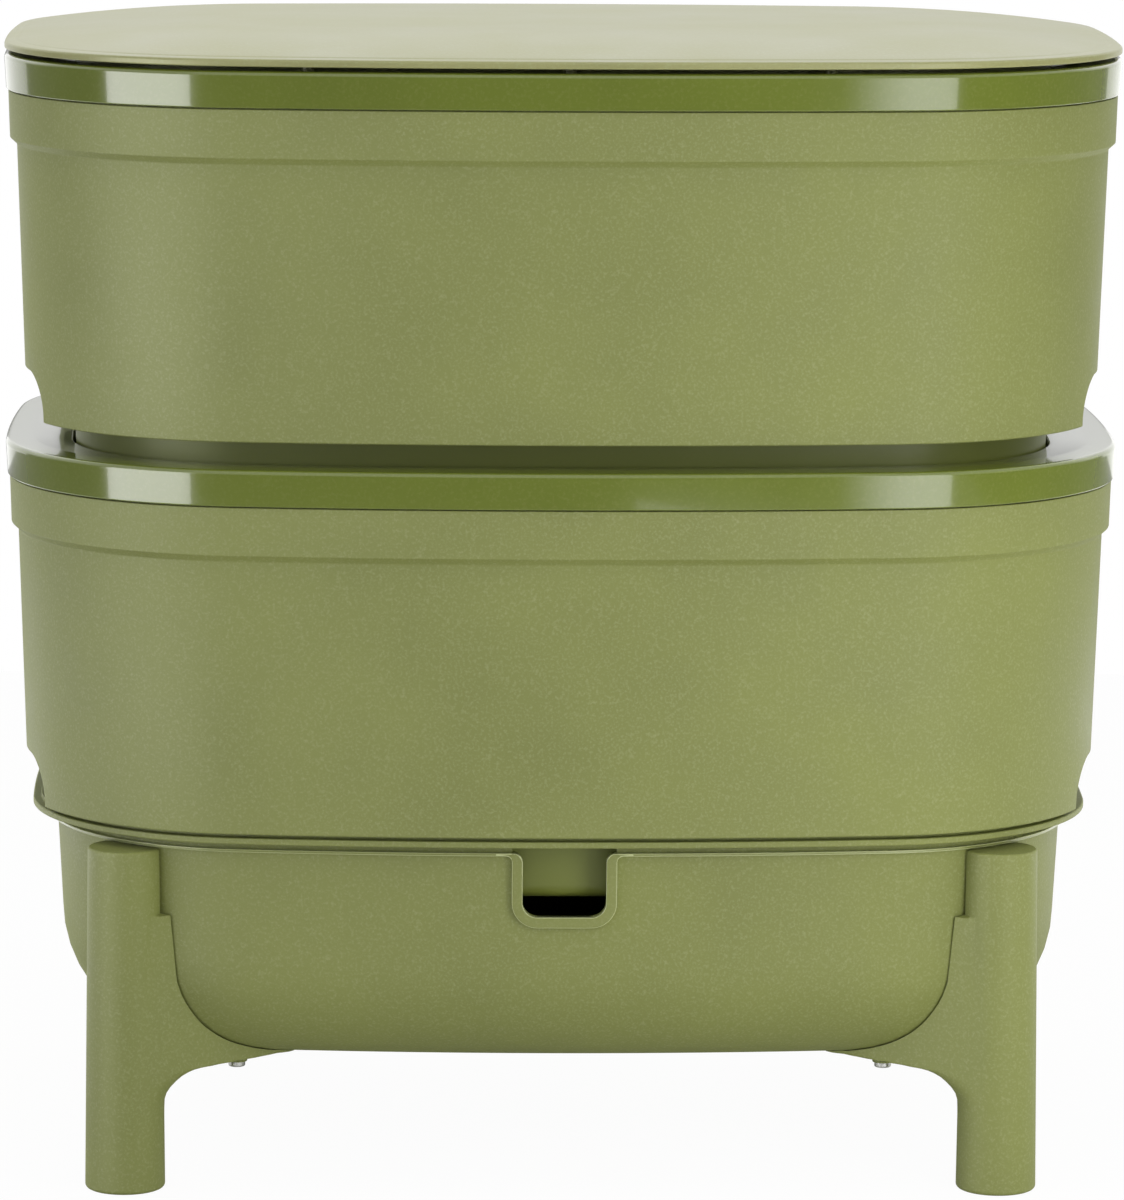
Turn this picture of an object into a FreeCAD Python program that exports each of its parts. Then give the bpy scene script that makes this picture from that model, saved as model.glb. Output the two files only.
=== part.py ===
"""Two-tray wormery on four legs, in millimetres.

X runs along the length, Y from front to back and Z up, with the floor at Z = 0 and the
origin at the middle of the footprint. Every moulding follows the same rounded oval, drawn
once from three arc radii, so a size across a wall is given as an inset: the distance
inwards from the outermost oval. A section in (inset, height) carried round the oval gives
each wall, rim and floor.
"""
import FreeCAD, Part
import math
import os

# Oval outline, measured over the rims
half_length = 266.5
half_depth = 187.5
side_radius = 1340.0
end_radius = 1380.0
corner_radius = 125.0

# Heights above the floor and stacking
bowl_rim_height = 173.8
shell_height = 154.9
rim_height = 17.0
stacking_gap = 11.5
vent_gap = 2.0

# Walls of the mouldings
rim_wall = 2.4
collar_thickness = 3.0
shell_wall = 2.5
flange_thickness = 3.0
tray_wall = 2.2
tray_floor = 2.5
bowl_wall = 3.0
lid_wall = 3.0

# Clearances
assembly_gap = 0.3
screw_clearance = 0.1
boss_clearance = 0.4
nesting_gap = 1.8
leg_fit_gap = 1.0
cutter_reach = 1.0

# Rim ring
rim_draft = 1.0
rim_edge_round = 2.0
rim_foot_round = 0.6
collar_width = 32.0
collar_flat = 14.0
collar_fall = 1.2
rim_boss_radius = 4.6
rim_boss_inset = 17.0

# Outer shell
band_step_in = 1.0
band_height = 22.5
band_draft = 0.7
step_depth = 3.3
step_height = 3.0
shell_draft = 4.2
band_seam_round = 0.5
band_foot_round = 2.0
step_foot_round = 3.0
step_inner_round = 1.0
foot_chamfer = 0.8
foot_width = 12.0
foot_thickness = 2.5
shell_flange_edge = 28.0
notch_width = 204.0
notch_height = 22.5
notch_round = 20.0

# Inner tray
tray_flange_edge = 6.5
tray_drop = 33.0
tray_draft = 3.9
tray_corner = 7.0
hole_diameter = 6.0
hole_pitch = 32.0
hole_margin = 54.0
rib_thickness = 3.0
rib_depth = 12.0
side_rib_x = 110.0
end_rib_y = 45.0

# Screws that hold each tray together
screw_diameter = 4.0
screw_head_diameter = 8.0
screw_head_height = 2.4
screw_drive_width = 1.2
screw_drive_length = 4.6
screw_drive_depth = 1.3
screw_head_round = 0.8
tray_screw_x = 140.0
boss_skin = 1.5

# Lid
lid_inset = 0.25
lid_edge_height = 5.0
lid_edge_round = 2.0
lid_crown_inset = 105.0
lid_crown_rise = 11.0
lid_dome_share = 0.95
skirt_depth = 8.5
skirt_wall = 2.2
lip_round = 0.8
pad_inset = 9.5
pad_radius = 3.0
pad_x = 120.0

# Collection bowl
bowl_underside = 56.6
flange_inset = 12.6
flange_height = 5.0
seat_inset = 16.5
seat_step = 2.0
bowl_wall_inset = 24.4
flange_slope = 0.6
flange_foot_round = 1.5
bead_drop = 10.0
bead_height = 1.4
bead_stand_out = 1.6
bead_round = 0.5
bowl_draft = 2.3
bowl_corner = 61.0
window_width = 39.0
window_drop = 40.2
window_round = 7.0
frame_width = 4.9
frame_sill = 4.9
frame_stand_out = 2.0
frame_flare = 3.5
frame_flare_height = 5.2
frame_flare_round = 3.0
bowl_boss_radius = 6.5
bowl_boss_height = 13.0

# Legs
leg_inset_x = 61.0
leg_inset_y = 46.5
leg_top_drop = 10.8
leg_top_radius = 17.2
leg_foot_radius = 18.8
leg_foot_round = 2.0
leg_top_round = 1.0
leg_core_wall = 5.0
leg_core_height = 120.0
leg_core_round = 2.0
web_turn = 30.0
web_thickness = 33.0
web_reach = 80.0
web_underside = 53.5
web_top_height = 132.0
web_throat_round = 14.0
web_throat_drop = 20.0
web_throat_reach = 17.7
web_tip_round = 2.0
leg_screw_reach = 60.0
leg_screw_bite = 10.5

# Places that follow from the sizes above
tray_pitch = shell_height + rim_height + stacking_gap
window_sill_height = bowl_rim_height - window_drop
leg_x = half_length - leg_inset_x
leg_y = half_depth - leg_inset_y
leg_top_height = bowl_rim_height - leg_top_drop

UP = FreeCAD.Vector(0, 0, 1)


def oval_arcs():
    """Centre, radius, start angle and end angle of the eight arcs, anticlockwise.

    The corner circle touches the side circle and the end circle from inside, so its
    centre is where two circles of the radius differences cross.
    """
    side_y = half_depth - side_radius
    end_x = half_length - end_radius
    reach_side = side_radius - corner_radius
    reach_end = end_radius - corner_radius
    span = math.hypot(end_x, side_y)
    along = (reach_side ** 2 - reach_end ** 2 + span ** 2) / (2 * span)
    across = math.sqrt(reach_side ** 2 - along ** 2)
    direction = (end_x / span, -side_y / span)
    corner_x = direction[0] * along + direction[1] * across
    corner_y = side_y + direction[1] * along - direction[0] * across
    low = math.atan2(corner_y, corner_x - end_x)
    high = math.atan2(corner_y - side_y, corner_x)
    turn = math.pi
    return [
        (end_x, 0.0, end_radius, -low, low),
        (corner_x, corner_y, corner_radius, low, high),
        (0.0, side_y, side_radius, high, turn - high),
        (-corner_x, corner_y, corner_radius, turn - high, turn - low),
        (-end_x, 0.0, end_radius, turn - low, turn + low),
        (-corner_x, -corner_y, corner_radius, turn + low, turn + high),
        (0.0, -side_y, side_radius, turn + high, 2 * turn - high),
        (corner_x, -corner_y, corner_radius, 2 * turn - high, 2 * turn - low),
    ]


OVAL = oval_arcs()


def oval_edges(inset, height):
    """The oval at one inset and height, as eight arcs."""
    edges = []
    for x, y, radius, start, end in OVAL:
        circle = Part.Circle(FreeCAD.Vector(x, y, height), UP, radius - inset)
        edges.append(Part.Arc(circle, start, end).toShape())
    return edges


def side_point(inset, x, side):
    """Point on the front (side -1) or back (side 1) at one inset and length."""
    y = half_depth - side_radius + math.sqrt((side_radius - inset) ** 2 - x ** 2)
    return x, side * y


def end_point(inset, y, side):
    """Point on the left (side -1) or right (side 1) end at one inset and depth."""
    x = half_length - end_radius + math.sqrt((end_radius - inset) ** 2 - y ** 2)
    return side * x, y


def section_parts(section, closed):
    """Lines and rounding arcs of a section given as (inset, height, rounding) points."""
    count = len(section)
    entries = []
    for index, (inset, height, rounding) in enumerate(section):
        corner = FreeCAD.Vector(inset, height, 0)
        end_of_run = not closed and index in (0, count - 1)
        if rounding == 0 or end_of_run:
            entries.append((corner, None, corner))
            continue
        before = section[index - 1]
        after = section[(index + 1) % count]
        back = (FreeCAD.Vector(before[0], before[1], 0) - corner).normalize()
        on = (FreeCAD.Vector(after[0], after[1], 0) - corner).normalize()
        half_angle = back.getAngle(on) / 2
        setback = rounding / math.tan(half_angle)
        middle = (back + on).normalize()
        centre = corner + middle * (rounding / math.sin(half_angle))
        entries.append((corner + back * setback, centre - middle * rounding, corner + on * setback))
    parts = []
    last = count if closed else count - 1
    for index in range(count):
        start, crest, stop = entries[index]
        if crest is not None:
            parts.append((start, crest, stop))
        if index < last:
            following = entries[(index + 1) % count][0]
            if following.distanceToPoint(stop) > 1e-6:
                parts.append((stop, None, following))
    return parts


def carry_round(section, closed=True):
    """Solid of a section carried round the oval.

    An open section starts and ends at plate edges, which flat faces close.
    """
    faces = []
    parts = section_parts(section, closed)
    for x, y, radius, start, end in OVAL:
        out = FreeCAD.Vector(math.cos(start), math.sin(start), 0)
        axis_point = FreeCAD.Vector(x, y, 0)

        def place(point):
            return axis_point + out * (radius - point.x) + UP * point.y

        for first, crest, last in parts:
            if crest is None:
                edge = Part.LineSegment(place(first), place(last)).toShape()
            else:
                edge = Part.Arc(place(first), place(crest), place(last)).toShape()
            faces.append(edge.revolve(axis_point, UP, math.degrees(end - start)))
    if not closed:
        for inset, height, rounding in (section[0], section[-1]):
            faces.append(Part.Face(Part.Wire(oval_edges(inset, height))))
    skin = Part.Compound(faces)
    skin.sewShape(1e-5)
    solid = Part.Solid(skin.Shells[0])
    if solid.Volume < 0:
        solid.reverse()
    return solid.removeSplitter()


def cylinder(x, y, bottom, top, radius):
    """Upright cylinder."""
    return Part.makeCylinder(radius, top - bottom, FreeCAD.Vector(x, y, bottom), UP)


def block(low, high):
    """Box from its lowest to its highest corner."""
    size = [high[i] - low[i] for i in range(3)]
    return Part.makeBox(size[0], size[1], size[2], FreeCAD.Vector(*low))


def outline(points, place):
    """Face inside (u, v, rounding) points, each placed in space by the given function."""
    edges = []
    for first, crest, last in section_parts(points, True):
        if crest is None:
            edges.append(Part.LineSegment(place(first), place(last)).toShape())
        else:
            edges.append(Part.Arc(place(first), place(crest), place(last)).toShape())
    return Part.Face(Part.Wire(edges))


def export(node, shape):
    """Check one node and write it."""
    if not shape.isValid():
        raise ValueError(node + " is not a valid shape")
    shape.exportStep("parts/" + node + ".step")
    print(node, len(shape.Solids), round(shape.Volume / 1000.0, 2), "cm3")


# Rim ring: a skirt outside, a wide collar that falls inwards, and screw bosses under it
def screw_places():
    """Where the tray screws stand, on the line of the rim bosses."""
    places = []
    for side in (-1, 1):
        for x in (-tray_screw_x, 0.0, tray_screw_x):
            places.append(side_point(rim_boss_inset, x, side))
        places.append(end_point(rim_boss_inset, 0.0, side))
    return places


def rim_ring(base):
    """Glossy ring round the top of a tray whose shell stands at the height base."""
    bottom = base + shell_height
    top = bottom + rim_height
    under = top - collar_thickness
    section = [
        (rim_draft, bottom, rim_foot_round),
        (0.0, top, rim_edge_round),
        (collar_flat, top, 0),
        (collar_width, top - collar_fall, lip_round),
        (collar_width, under, 0),
        (rim_draft + rim_wall, under, 0),
        (rim_draft + rim_wall, bottom, 0),
    ]
    ring = carry_round(section)
    for x, y in screw_places():
        ring = ring.fuse(cylinder(x, y, under - flange_thickness, under, rim_boss_radius))
    for x, y in screw_places():
        pilot_top = top - boss_skin
        pilot = cylinder(x, y, under - flange_thickness, pilot_top, screw_diameter / 2 + screw_clearance / 2)
        ring = ring.cut(pilot)
    return ring.removeSplitter()


# Inner tray: a flange under the collar, a tapered wall and a perforated floor
def tray_levels(base):
    """Flange top, flange underside, floor top and floor underside of an inner tray."""
    flange_top = base + shell_height + rim_height - collar_thickness
    floor_under = base - tray_drop
    return flange_top, flange_top - flange_thickness, floor_under + tray_floor, floor_under


def tray_wall_inset(base, height):
    """Inset of the tray wall's inner face at one height."""
    flange_top, flange_under, floor_top, floor_under = tray_levels(base)
    share = (flange_top - height) / (flange_top - floor_under)
    return collar_width + assembly_gap + tray_draft * share


def hole_places():
    """Drain holes on a square grid, inside the margin from the oval."""
    reach_x = half_length - hole_margin
    reach_y = half_depth - hole_margin
    columns = int(reach_x // hole_pitch)
    rows = int(reach_y // hole_pitch)
    places = []
    for column in range(-columns, columns + 1):
        for row in range(-rows, rows + 1):
            x = column * hole_pitch
            y = row * hole_pitch
            if (abs(x) / reach_x) ** 3 + (abs(y) / reach_y) ** 3 < 1:
                places.append((x, y))
    return places


def stacking_ribs(base, bottom, top):
    """Upright ribs on the inner face of the wall, which carry the tray above."""
    ribs = []
    inner = tray_wall_inset(base, top) + rib_depth
    outer = collar_width
    half = rib_thickness / 2
    for side in (-1, 1):
        for x in (-side_rib_x, side_rib_x):
            near = side_point(inner, x, side)[1]
            far = side_point(outer, x, side)[1]
            ribs.append(block((x - half, min(near, far), bottom), (x + half, max(near, far), top)))
        for y in (-end_rib_y, end_rib_y):
            near = end_point(inner, y, side)[0]
            far = end_point(outer, y, side)[0]
            ribs.append(block((min(near, far), y - half, bottom), (max(near, far), y + half, top)))
    return ribs


def inner_tray(base):
    """Tapered tray with a perforated floor and stacking ribs."""
    flange_top, flange_under, floor_top, floor_under = tray_levels(base)
    top_inset = tray_wall_inset(base, flange_top)
    low_inset = tray_wall_inset(base, floor_under)
    plate_inset = low_inset + tray_corner + tray_wall
    section = [
        (plate_inset, floor_top, 0),
        (low_inset, floor_top, tray_corner - tray_wall),
        (top_inset, flange_top, 0),
        (tray_flange_edge, flange_top, 0),
        (tray_flange_edge, flange_under, 0),
        (top_inset - tray_wall, flange_under, 0),
        (low_inset - tray_wall, floor_under, tray_corner),
        (plate_inset, floor_under, 0),
    ]
    tray = carry_round(section, False)
    envelope = carry_round([
        (plate_inset, flange_under, 0),
        (top_inset - tray_wall, flange_under, 0),
        (low_inset - tray_wall, floor_under, tray_corner),
        (plate_inset, floor_under, 0),
    ], False)
    rib_top = base + tray_pitch - tray_drop
    for rib in stacking_ribs(base, floor_top - tray_floor / 2, rib_top):
        tray = tray.fuse(rib.common(envelope))
    cuts = []
    for x, y in hole_places():
        cuts.append(cylinder(x, y, floor_under - cutter_reach, floor_top + cutter_reach, hole_diameter / 2))
    for x, y in screw_places():
        low = flange_under - cutter_reach
        cuts.append(cylinder(x, y, low, flange_top + cutter_reach, rim_boss_radius + boss_clearance))
    return tray.cut(cuts).removeSplitter()


# Outer shell: a stepped, tapered skirt with a finger notch low in each end
def shell_section(base):
    """Section of the outer shell."""
    seam = base + shell_height - assembly_gap
    flange_top = tray_levels(base)[1]
    flange_under = flange_top - flange_thickness
    band = rim_draft + band_step_in
    tongue = rim_draft + rim_wall + assembly_gap
    band_foot = seam - band_height
    step_foot = band_foot - step_height
    foot = band + band_draft + step_depth + shell_draft
    return [
        (band, seam, band_seam_round),
        (band + band_draft, band_foot, band_foot_round),
        (band + band_draft + step_depth, step_foot, step_foot_round),
        (foot, base + foot_chamfer, 0),
        (foot + foot_chamfer, base, 0),
        (foot + foot_width, base, 0),
        (foot + foot_width, base + foot_thickness, 0),
        (foot + shell_wall, base + foot_thickness, 0),
        (band + band_draft + step_depth + shell_wall, step_foot, step_inner_round),
        (tongue + shell_wall, band_foot, step_inner_round),
        (tongue + shell_wall, flange_under, 0),
        (shell_flange_edge, flange_under, 0),
        (shell_flange_edge, flange_top, 0),
        (tongue, flange_top, 0),
        (tongue, seam, 0),
    ]


def outer_shell(base):
    """Double wall's outer half, with notches for the fingers."""
    shell = carry_round(shell_section(base))
    half = notch_width / 2
    top = base + notch_height
    low = base - cutter_reach
    arch = [(-half, low, 0), (half, low, 0), (half, top, notch_round), (-half, top, notch_round)]
    cuts = []
    for side in (-1, 1):
        start = side * (half_length - shell_flange_edge)
        face = outline(arch, lambda p: FreeCAD.Vector(start, p.x, p.y))
        cuts.append(face.extrude(FreeCAD.Vector(side * (shell_flange_edge + cutter_reach), 0, 0)))
    flange_top = tray_levels(base)[1]
    for x, y in screw_places():
        low = flange_top - flange_thickness - cutter_reach
        hole_radius = screw_diameter / 2 + screw_clearance
        cuts.append(cylinder(x, y, low, flange_top + cutter_reach, hole_radius))
    return shell.cut(cuts).removeSplitter()


def pan_screw(x, y, head_bottom, tip):
    """Pan-head screw driven upwards, with a cross recess and its thread left plain."""
    head = cylinder(x, y, head_bottom, head_bottom + screw_head_height, screw_head_diameter / 2)
    rim = [edge for edge in head.Edges if edge.BoundBox.ZMax < head_bottom + screw_head_height / 2]
    head = head.makeFillet(screw_head_round, rim)
    shank = cylinder(x, y, head_bottom + screw_head_height, tip, screw_diameter / 2)
    long = screw_drive_length / 2
    short = screw_drive_width / 2
    bottom = head_bottom - cutter_reach
    top = head_bottom + screw_drive_depth
    cross = block((x - long, y - short, bottom), (x + long, y + short, top))
    cross = cross.fuse(block((x - short, y - long, bottom), (x + short, y + long, top)))
    return head.fuse(shank).cut(cross).removeSplitter()


def tray_screws(base):
    """The screws of one tray, from below through shell and tray into the rim bosses."""
    flange_under = tray_levels(base)[1] - flange_thickness
    tip = base + shell_height + rim_height - boss_skin - assembly_gap
    screws = [pan_screw(x, y, flange_under - screw_head_height, tip) for x, y in screw_places()]
    return Part.Compound(screws)


# Lid: a domed plate with a turned-down edge, a locating skirt and spacer pads underneath
def lid_plate_height(inset):
    """Rise of the plate's mid-thickness above the lid's edge at one inset."""
    share = (inset - lid_inset) / (lid_crown_inset - lid_inset)
    rise = lid_crown_rise - lid_edge_height
    return lid_edge_height + rise * (1 - (1 - share) ** 2) - lid_wall / 2


def lid():
    """Cover that stands a vent gap above the upper rim."""
    rim_top = bowl_rim_height + tray_pitch + shell_height + rim_height
    bottom = rim_top + vent_gap
    crown = bottom + lid_crown_rise
    half_run = (lid_crown_inset - lid_inset) / 2
    slope = (lid_crown_rise - lid_edge_height) / half_run
    dome_corner = lid_inset + half_run
    dome_round = lid_dome_share * half_run / math.tan(math.atan(slope) / 2)
    edge_under = bottom + lid_edge_height - lid_wall * (1 - slope)
    section = [
        (lid_crown_inset, crown, 0),
        (dome_corner, crown, dome_round),
        (lid_inset, bottom + lid_edge_height, lid_edge_round),
        (lid_inset, bottom, lip_round),
        (lid_inset + lid_wall, bottom, 0),
        (lid_inset + lid_wall, edge_under, 0),
        (dome_corner, crown - lid_wall, dome_round - lid_wall),
        (lid_crown_inset, crown - lid_wall, 0),
    ]
    cover = carry_round(section, False)
    skirt_inset = collar_width + nesting_gap
    plate = bottom + lid_plate_height(skirt_inset)
    cover = cover.fuse(carry_round([
        (skirt_inset, rim_top - skirt_depth, lip_round),
        (skirt_inset, plate, 0),
        (skirt_inset + skirt_wall, plate, 0),
        (skirt_inset + skirt_wall, rim_top - skirt_depth, lip_round),
    ]))
    pads = [side_point(pad_inset, x, side) for side in (-1, 1) for x in (-pad_x, 0.0, pad_x)]
    pads += [end_point(pad_inset, 0.0, side) for side in (-1, 1)]
    for x, y in pads:
        cover = cover.fuse(cylinder(x, y, rim_top, bottom + lid_plate_height(pad_inset), pad_radius))
    return cover.removeSplitter()


# Collection bowl: a flanged basin with a framed window at the front
def bowl_outer_section(grow):
    """Outer wall of the bowl from its flange down, grown outwards by a clearance."""
    wall_foot = bowl_underside + bowl_corner
    bead_foot = bowl_rim_height - bead_drop
    plate_inset = bowl_wall_inset + bowl_draft + bowl_corner
    low_inset = bowl_wall_inset + bowl_draft
    return [
        (plate_inset, bowl_rim_height, 0),
        (bowl_wall_inset - grow, bowl_rim_height, 0),
        (bowl_wall_inset - grow, bead_foot, 0),
        (low_inset - grow, wall_foot, 0),
        (low_inset - grow, bowl_underside, bowl_corner),
        (plate_inset, bowl_underside, 0),
    ]


def leg_screw_places():
    """Where the screws through the webs enter the bowl's underside."""
    x = leg_x - leg_screw_reach * math.cos(math.radians(web_turn))
    y = leg_y - leg_screw_reach * math.sin(math.radians(web_turn))
    return [(side_x * x, side_y * y) for side_y in (-1, 1) for side_x in (-1, 1)]


def window_frame():
    """Raised frame round the window, cut from a thicker wall."""
    half = window_width / 2 + frame_width
    sill = window_sill_height - frame_sill
    head = bowl_rim_height - flange_height - flange_slope / 2
    shape = [
        (-half - frame_flare, head, 0),
        (-half, head - frame_flare_height, frame_flare_round),
        (-half, sill, window_round + frame_sill),
        (half, sill, window_round + frame_sill),
        (half, head - frame_flare_height, frame_flare_round),
        (half + frame_flare, head, 0),
    ]
    face = outline(shape, lambda p: FreeCAD.Vector(p.x, -half_depth, p.y))
    prism = face.extrude(FreeCAD.Vector(0, half_depth / 2, 0))
    low_inset = bowl_wall_inset + bowl_draft
    wall_foot = bowl_underside + bowl_corner
    thick = carry_round([
        (bowl_wall_inset - frame_stand_out, bowl_rim_height - flange_height, 0),
        (bowl_wall_inset + bowl_wall / 2, bowl_rim_height - flange_height, 0),
        (low_inset + bowl_wall / 2, wall_foot, 0),
        (low_inset - frame_stand_out, wall_foot, 0),
    ])
    return prism.common(thick)


def collection_bowl():
    """Basin that gathers what drains from the trays."""
    wall_foot = bowl_underside + bowl_corner
    wall_top = bowl_rim_height - flange_height - flange_slope
    bead_foot = bowl_rim_height - bead_drop
    low_inset = bowl_wall_inset + bowl_draft
    plate_inset = low_inset + bowl_corner
    section = [
        (plate_inset, bowl_underside, 0),
        (low_inset, bowl_underside, bowl_corner),
        (low_inset, wall_foot, 0),
        (bowl_wall_inset, bead_foot, 0),
        (bowl_wall_inset - bead_stand_out, bead_foot, bead_round),
        (bowl_wall_inset - bead_stand_out, bead_foot + bead_height, bead_round),
        (bowl_wall_inset, bead_foot + bead_height, 0),
        (bowl_wall_inset, wall_top, flange_foot_round),
        (flange_inset, bowl_rim_height - flange_height, lip_round),
        (flange_inset, bowl_rim_height - seat_step, lip_round),
        (seat_inset, bowl_rim_height - seat_step, 0),
        (seat_inset, bowl_rim_height, lip_round),
        (bowl_wall_inset + bowl_wall, bowl_rim_height, lip_round),
        (bowl_wall_inset + bowl_wall, wall_top, 0),
        (low_inset + bowl_wall, wall_foot, 0),
        (low_inset + bowl_wall, bowl_underside + bowl_wall, bowl_corner - bowl_wall),
        (plate_inset, bowl_underside + bowl_wall, 0),
    ]
    bowl = carry_round(section, False)
    bowl = bowl.fuse(window_frame())
    half = window_width / 2
    head = bowl_rim_height - flange_height
    opening = [(-half, window_sill_height, window_round), (half, window_sill_height, window_round),
               (half, head, 0), (-half, head, 0)]
    face = outline(opening, lambda p: FreeCAD.Vector(p.x, -half_depth, p.y))
    bowl = bowl.cut(face.extrude(FreeCAD.Vector(0, half_depth / 2, 0)))
    inside = carry_round(bowl_outer_section(-bowl_wall / 2), False)
    for x, y in leg_screw_places():
        boss = cylinder(x, y, bowl_underside + bowl_wall / 2, bowl_underside + bowl_boss_height, bowl_boss_radius)
        bowl = bowl.fuse(boss.common(inside))
    pilot_radius = screw_diameter / 2 + screw_clearance / 2
    pilot_top = bowl_underside + leg_screw_bite
    for x, y in leg_screw_places():
        bowl = bowl.cut(cylinder(x, y, bowl_underside - cutter_reach, pilot_top, pilot_radius))
    return bowl.removeSplitter()


# Legs: a tapered round post that hugs the bowl, with a web running in under it
def leg_post():
    """Post standing on the Z axis, cored from below."""
    def turn(points):
        edges = []
        for first, crest, last in section_parts(points, True):
            ends = [FreeCAD.Vector(p.x, 0, p.y) for p in (first, last)]
            if crest is None:
                edges.append(Part.LineSegment(ends[0], ends[1]).toShape())
            else:
                edges.append(Part.Arc(ends[0], FreeCAD.Vector(crest.x, 0, crest.y), ends[1]).toShape())
        return Part.Face(Part.Wire(edges)).revolve(FreeCAD.Vector(0, 0, 0), UP, 360)

    post = turn([(0, 0, 0), (leg_foot_radius, 0, leg_foot_round),
                 (leg_top_radius, leg_top_height, leg_top_round), (0, leg_top_height, 0)])
    core_foot = leg_foot_radius - leg_core_wall
    core_top = leg_top_radius - leg_core_wall
    core = turn([(0, -cutter_reach, 0), (core_foot, -cutter_reach, 0),
                 (core_top, leg_core_height, leg_core_round), (0, leg_core_height, 0)])
    return post, core


def leg(side_x, side_y, bowl_envelope):
    """One leg, cut back from the bowl by the fit gap."""
    post, core = leg_post()
    web_low = web_underside - web_throat_drop
    shape = [
        (0, web_top_height, 0),
        (0, web_low, 0),
        (web_throat_reach, web_low, 0),
        (web_throat_reach, web_underside, web_throat_round),
        (web_reach, web_underside, web_tip_round),
        (web_reach, web_top_height, 0),
    ]
    face = outline(shape, lambda p: FreeCAD.Vector(p.x, -web_thickness / 2, p.y))
    web = face.extrude(FreeCAD.Vector(0, web_thickness, 0))
    whole = post.fuse(web).cut(core)
    turn = math.radians(web_turn)
    direction = math.atan2(-side_y * math.sin(turn), -side_x * math.cos(turn))
    whole.rotate(FreeCAD.Vector(0, 0, 0), UP, math.degrees(direction))
    whole.translate(FreeCAD.Vector(side_x * leg_x, side_y * leg_y, 0))
    whole = whole.cut(bowl_envelope)
    shank_radius = screw_diameter / 2 + screw_clearance
    hole_top = bowl_underside + bowl_boss_height
    for x, y in leg_screw_places():
        if x * side_x > 0 and y * side_y > 0:
            whole = whole.cut(cylinder(x, y, 0, hole_top, shank_radius))
    return whole.removeSplitter()


def leg_screws():
    """The screws that hold the bowl on the webs."""
    head_bottom = web_underside - screw_head_height
    tip = bowl_underside + leg_screw_bite - assembly_gap
    return Part.Compound([pan_screw(x, y, head_bottom, tip) for x, y in leg_screw_places()])


def main():
    """Build every node and write its file."""
    os.makedirs("parts", exist_ok=True)
    export("lid", lid())
    for name, base in (("upper", bowl_rim_height + tray_pitch), ("lower", bowl_rim_height)):
        export(name + "_rim_ring", rim_ring(base))
        export(name + "_inner_tray", inner_tray(base))
        export(name + "_outer_shell", outer_shell(base))
        export(name + "_tray_screws", tray_screws(base))
    export("collection_bowl", collection_bowl())
    bowl_envelope = carry_round(bowl_outer_section(leg_fit_gap), False)
    for depth_name, side_y in (("front", -1), ("rear", 1)):
        for width_name, side_x in (("left", -1), ("right", 1)):
            export("leg_" + depth_name + "_" + width_name, leg(side_x, side_y, bowl_envelope))
    export("leg_screws", leg_screws())


main()
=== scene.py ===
import math
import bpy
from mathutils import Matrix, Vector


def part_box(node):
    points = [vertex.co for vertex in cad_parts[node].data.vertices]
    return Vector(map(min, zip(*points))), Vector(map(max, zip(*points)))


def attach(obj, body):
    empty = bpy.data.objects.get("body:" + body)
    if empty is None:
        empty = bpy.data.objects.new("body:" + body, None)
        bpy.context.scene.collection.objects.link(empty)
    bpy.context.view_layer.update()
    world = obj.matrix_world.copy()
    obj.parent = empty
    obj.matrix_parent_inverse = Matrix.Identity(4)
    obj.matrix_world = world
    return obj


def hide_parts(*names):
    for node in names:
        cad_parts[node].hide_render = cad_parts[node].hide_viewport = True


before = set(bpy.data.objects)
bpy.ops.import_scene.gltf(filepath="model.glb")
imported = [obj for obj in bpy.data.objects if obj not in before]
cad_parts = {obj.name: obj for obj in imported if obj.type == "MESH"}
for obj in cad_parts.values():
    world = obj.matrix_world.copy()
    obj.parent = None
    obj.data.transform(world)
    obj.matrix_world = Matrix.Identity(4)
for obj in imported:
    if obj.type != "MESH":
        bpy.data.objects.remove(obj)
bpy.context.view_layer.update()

from types import SimpleNamespace

import bmesh
import bpy
import numpy as np
from bpy.props import FloatProperty, FloatVectorProperty, PointerProperty
from mathutils import Matrix, Vector

bl_info = {
    "name": "Wormery",
    "version": (1, 0, 0),
    "blender": (4, 5, 0),
    "location": "3D View > Sidebar > Wormery",
    "description": "Moulded surfaces and finishes for a two-tray wormery on legs",
    "category": "Object",
}

MM = 0.001
OUT_OF_REACH = 1e3               # millimetres: an inset or a height that nothing meets
WEB_TURN = math.radians(30.0)    # turn of a leg's web from the long axis


# What the frame says about the pieces
def reach(node):
    """Lowest and highest corner of a CAD node, in millimetres."""
    low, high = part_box(node)
    return np.array(low) / MM, np.array(high) / MM


RIM_LOW, RIM_HIGH = reach("lower_rim_ring")
UPPER_RIM_LOW, UPPER_RIM_HIGH = reach("upper_rim_ring")
SHELL_FOOT = reach("lower_outer_shell")[0][2]
UPPER_SHELL_FOOT = reach("upper_outer_shell")[0][2]
BOWL_TOP = reach("collection_bowl")[1][2]


# Sizes and colours that a user may change
def length(name, text, millimetres):
    """Length property with its default given in millimetres."""
    return FloatProperty(name=name, description=text, default=float(millimetres) * MM,
                         min=0.0, unit="LENGTH", precision=4)


def linear(hex_colour):
    """Linear red, green and blue of an sRGB hex colour."""
    values = np.array([int(hex_colour[i:i + 2], 16) for i in (1, 3, 5)]) / 255.0
    low = values / 12.92
    high = ((values + 0.055) / 1.055) ** 2.4
    return tuple(float(v) for v in np.where(values <= 0.04045, low, high))


def colour(name, text, hex_colour):
    """Colour property with its default given as sRGB hex."""
    return FloatVectorProperty(name=name, description=text, default=linear(hex_colour),
                               size=3, min=0.0, max=1.0, subtype="COLOR")


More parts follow.
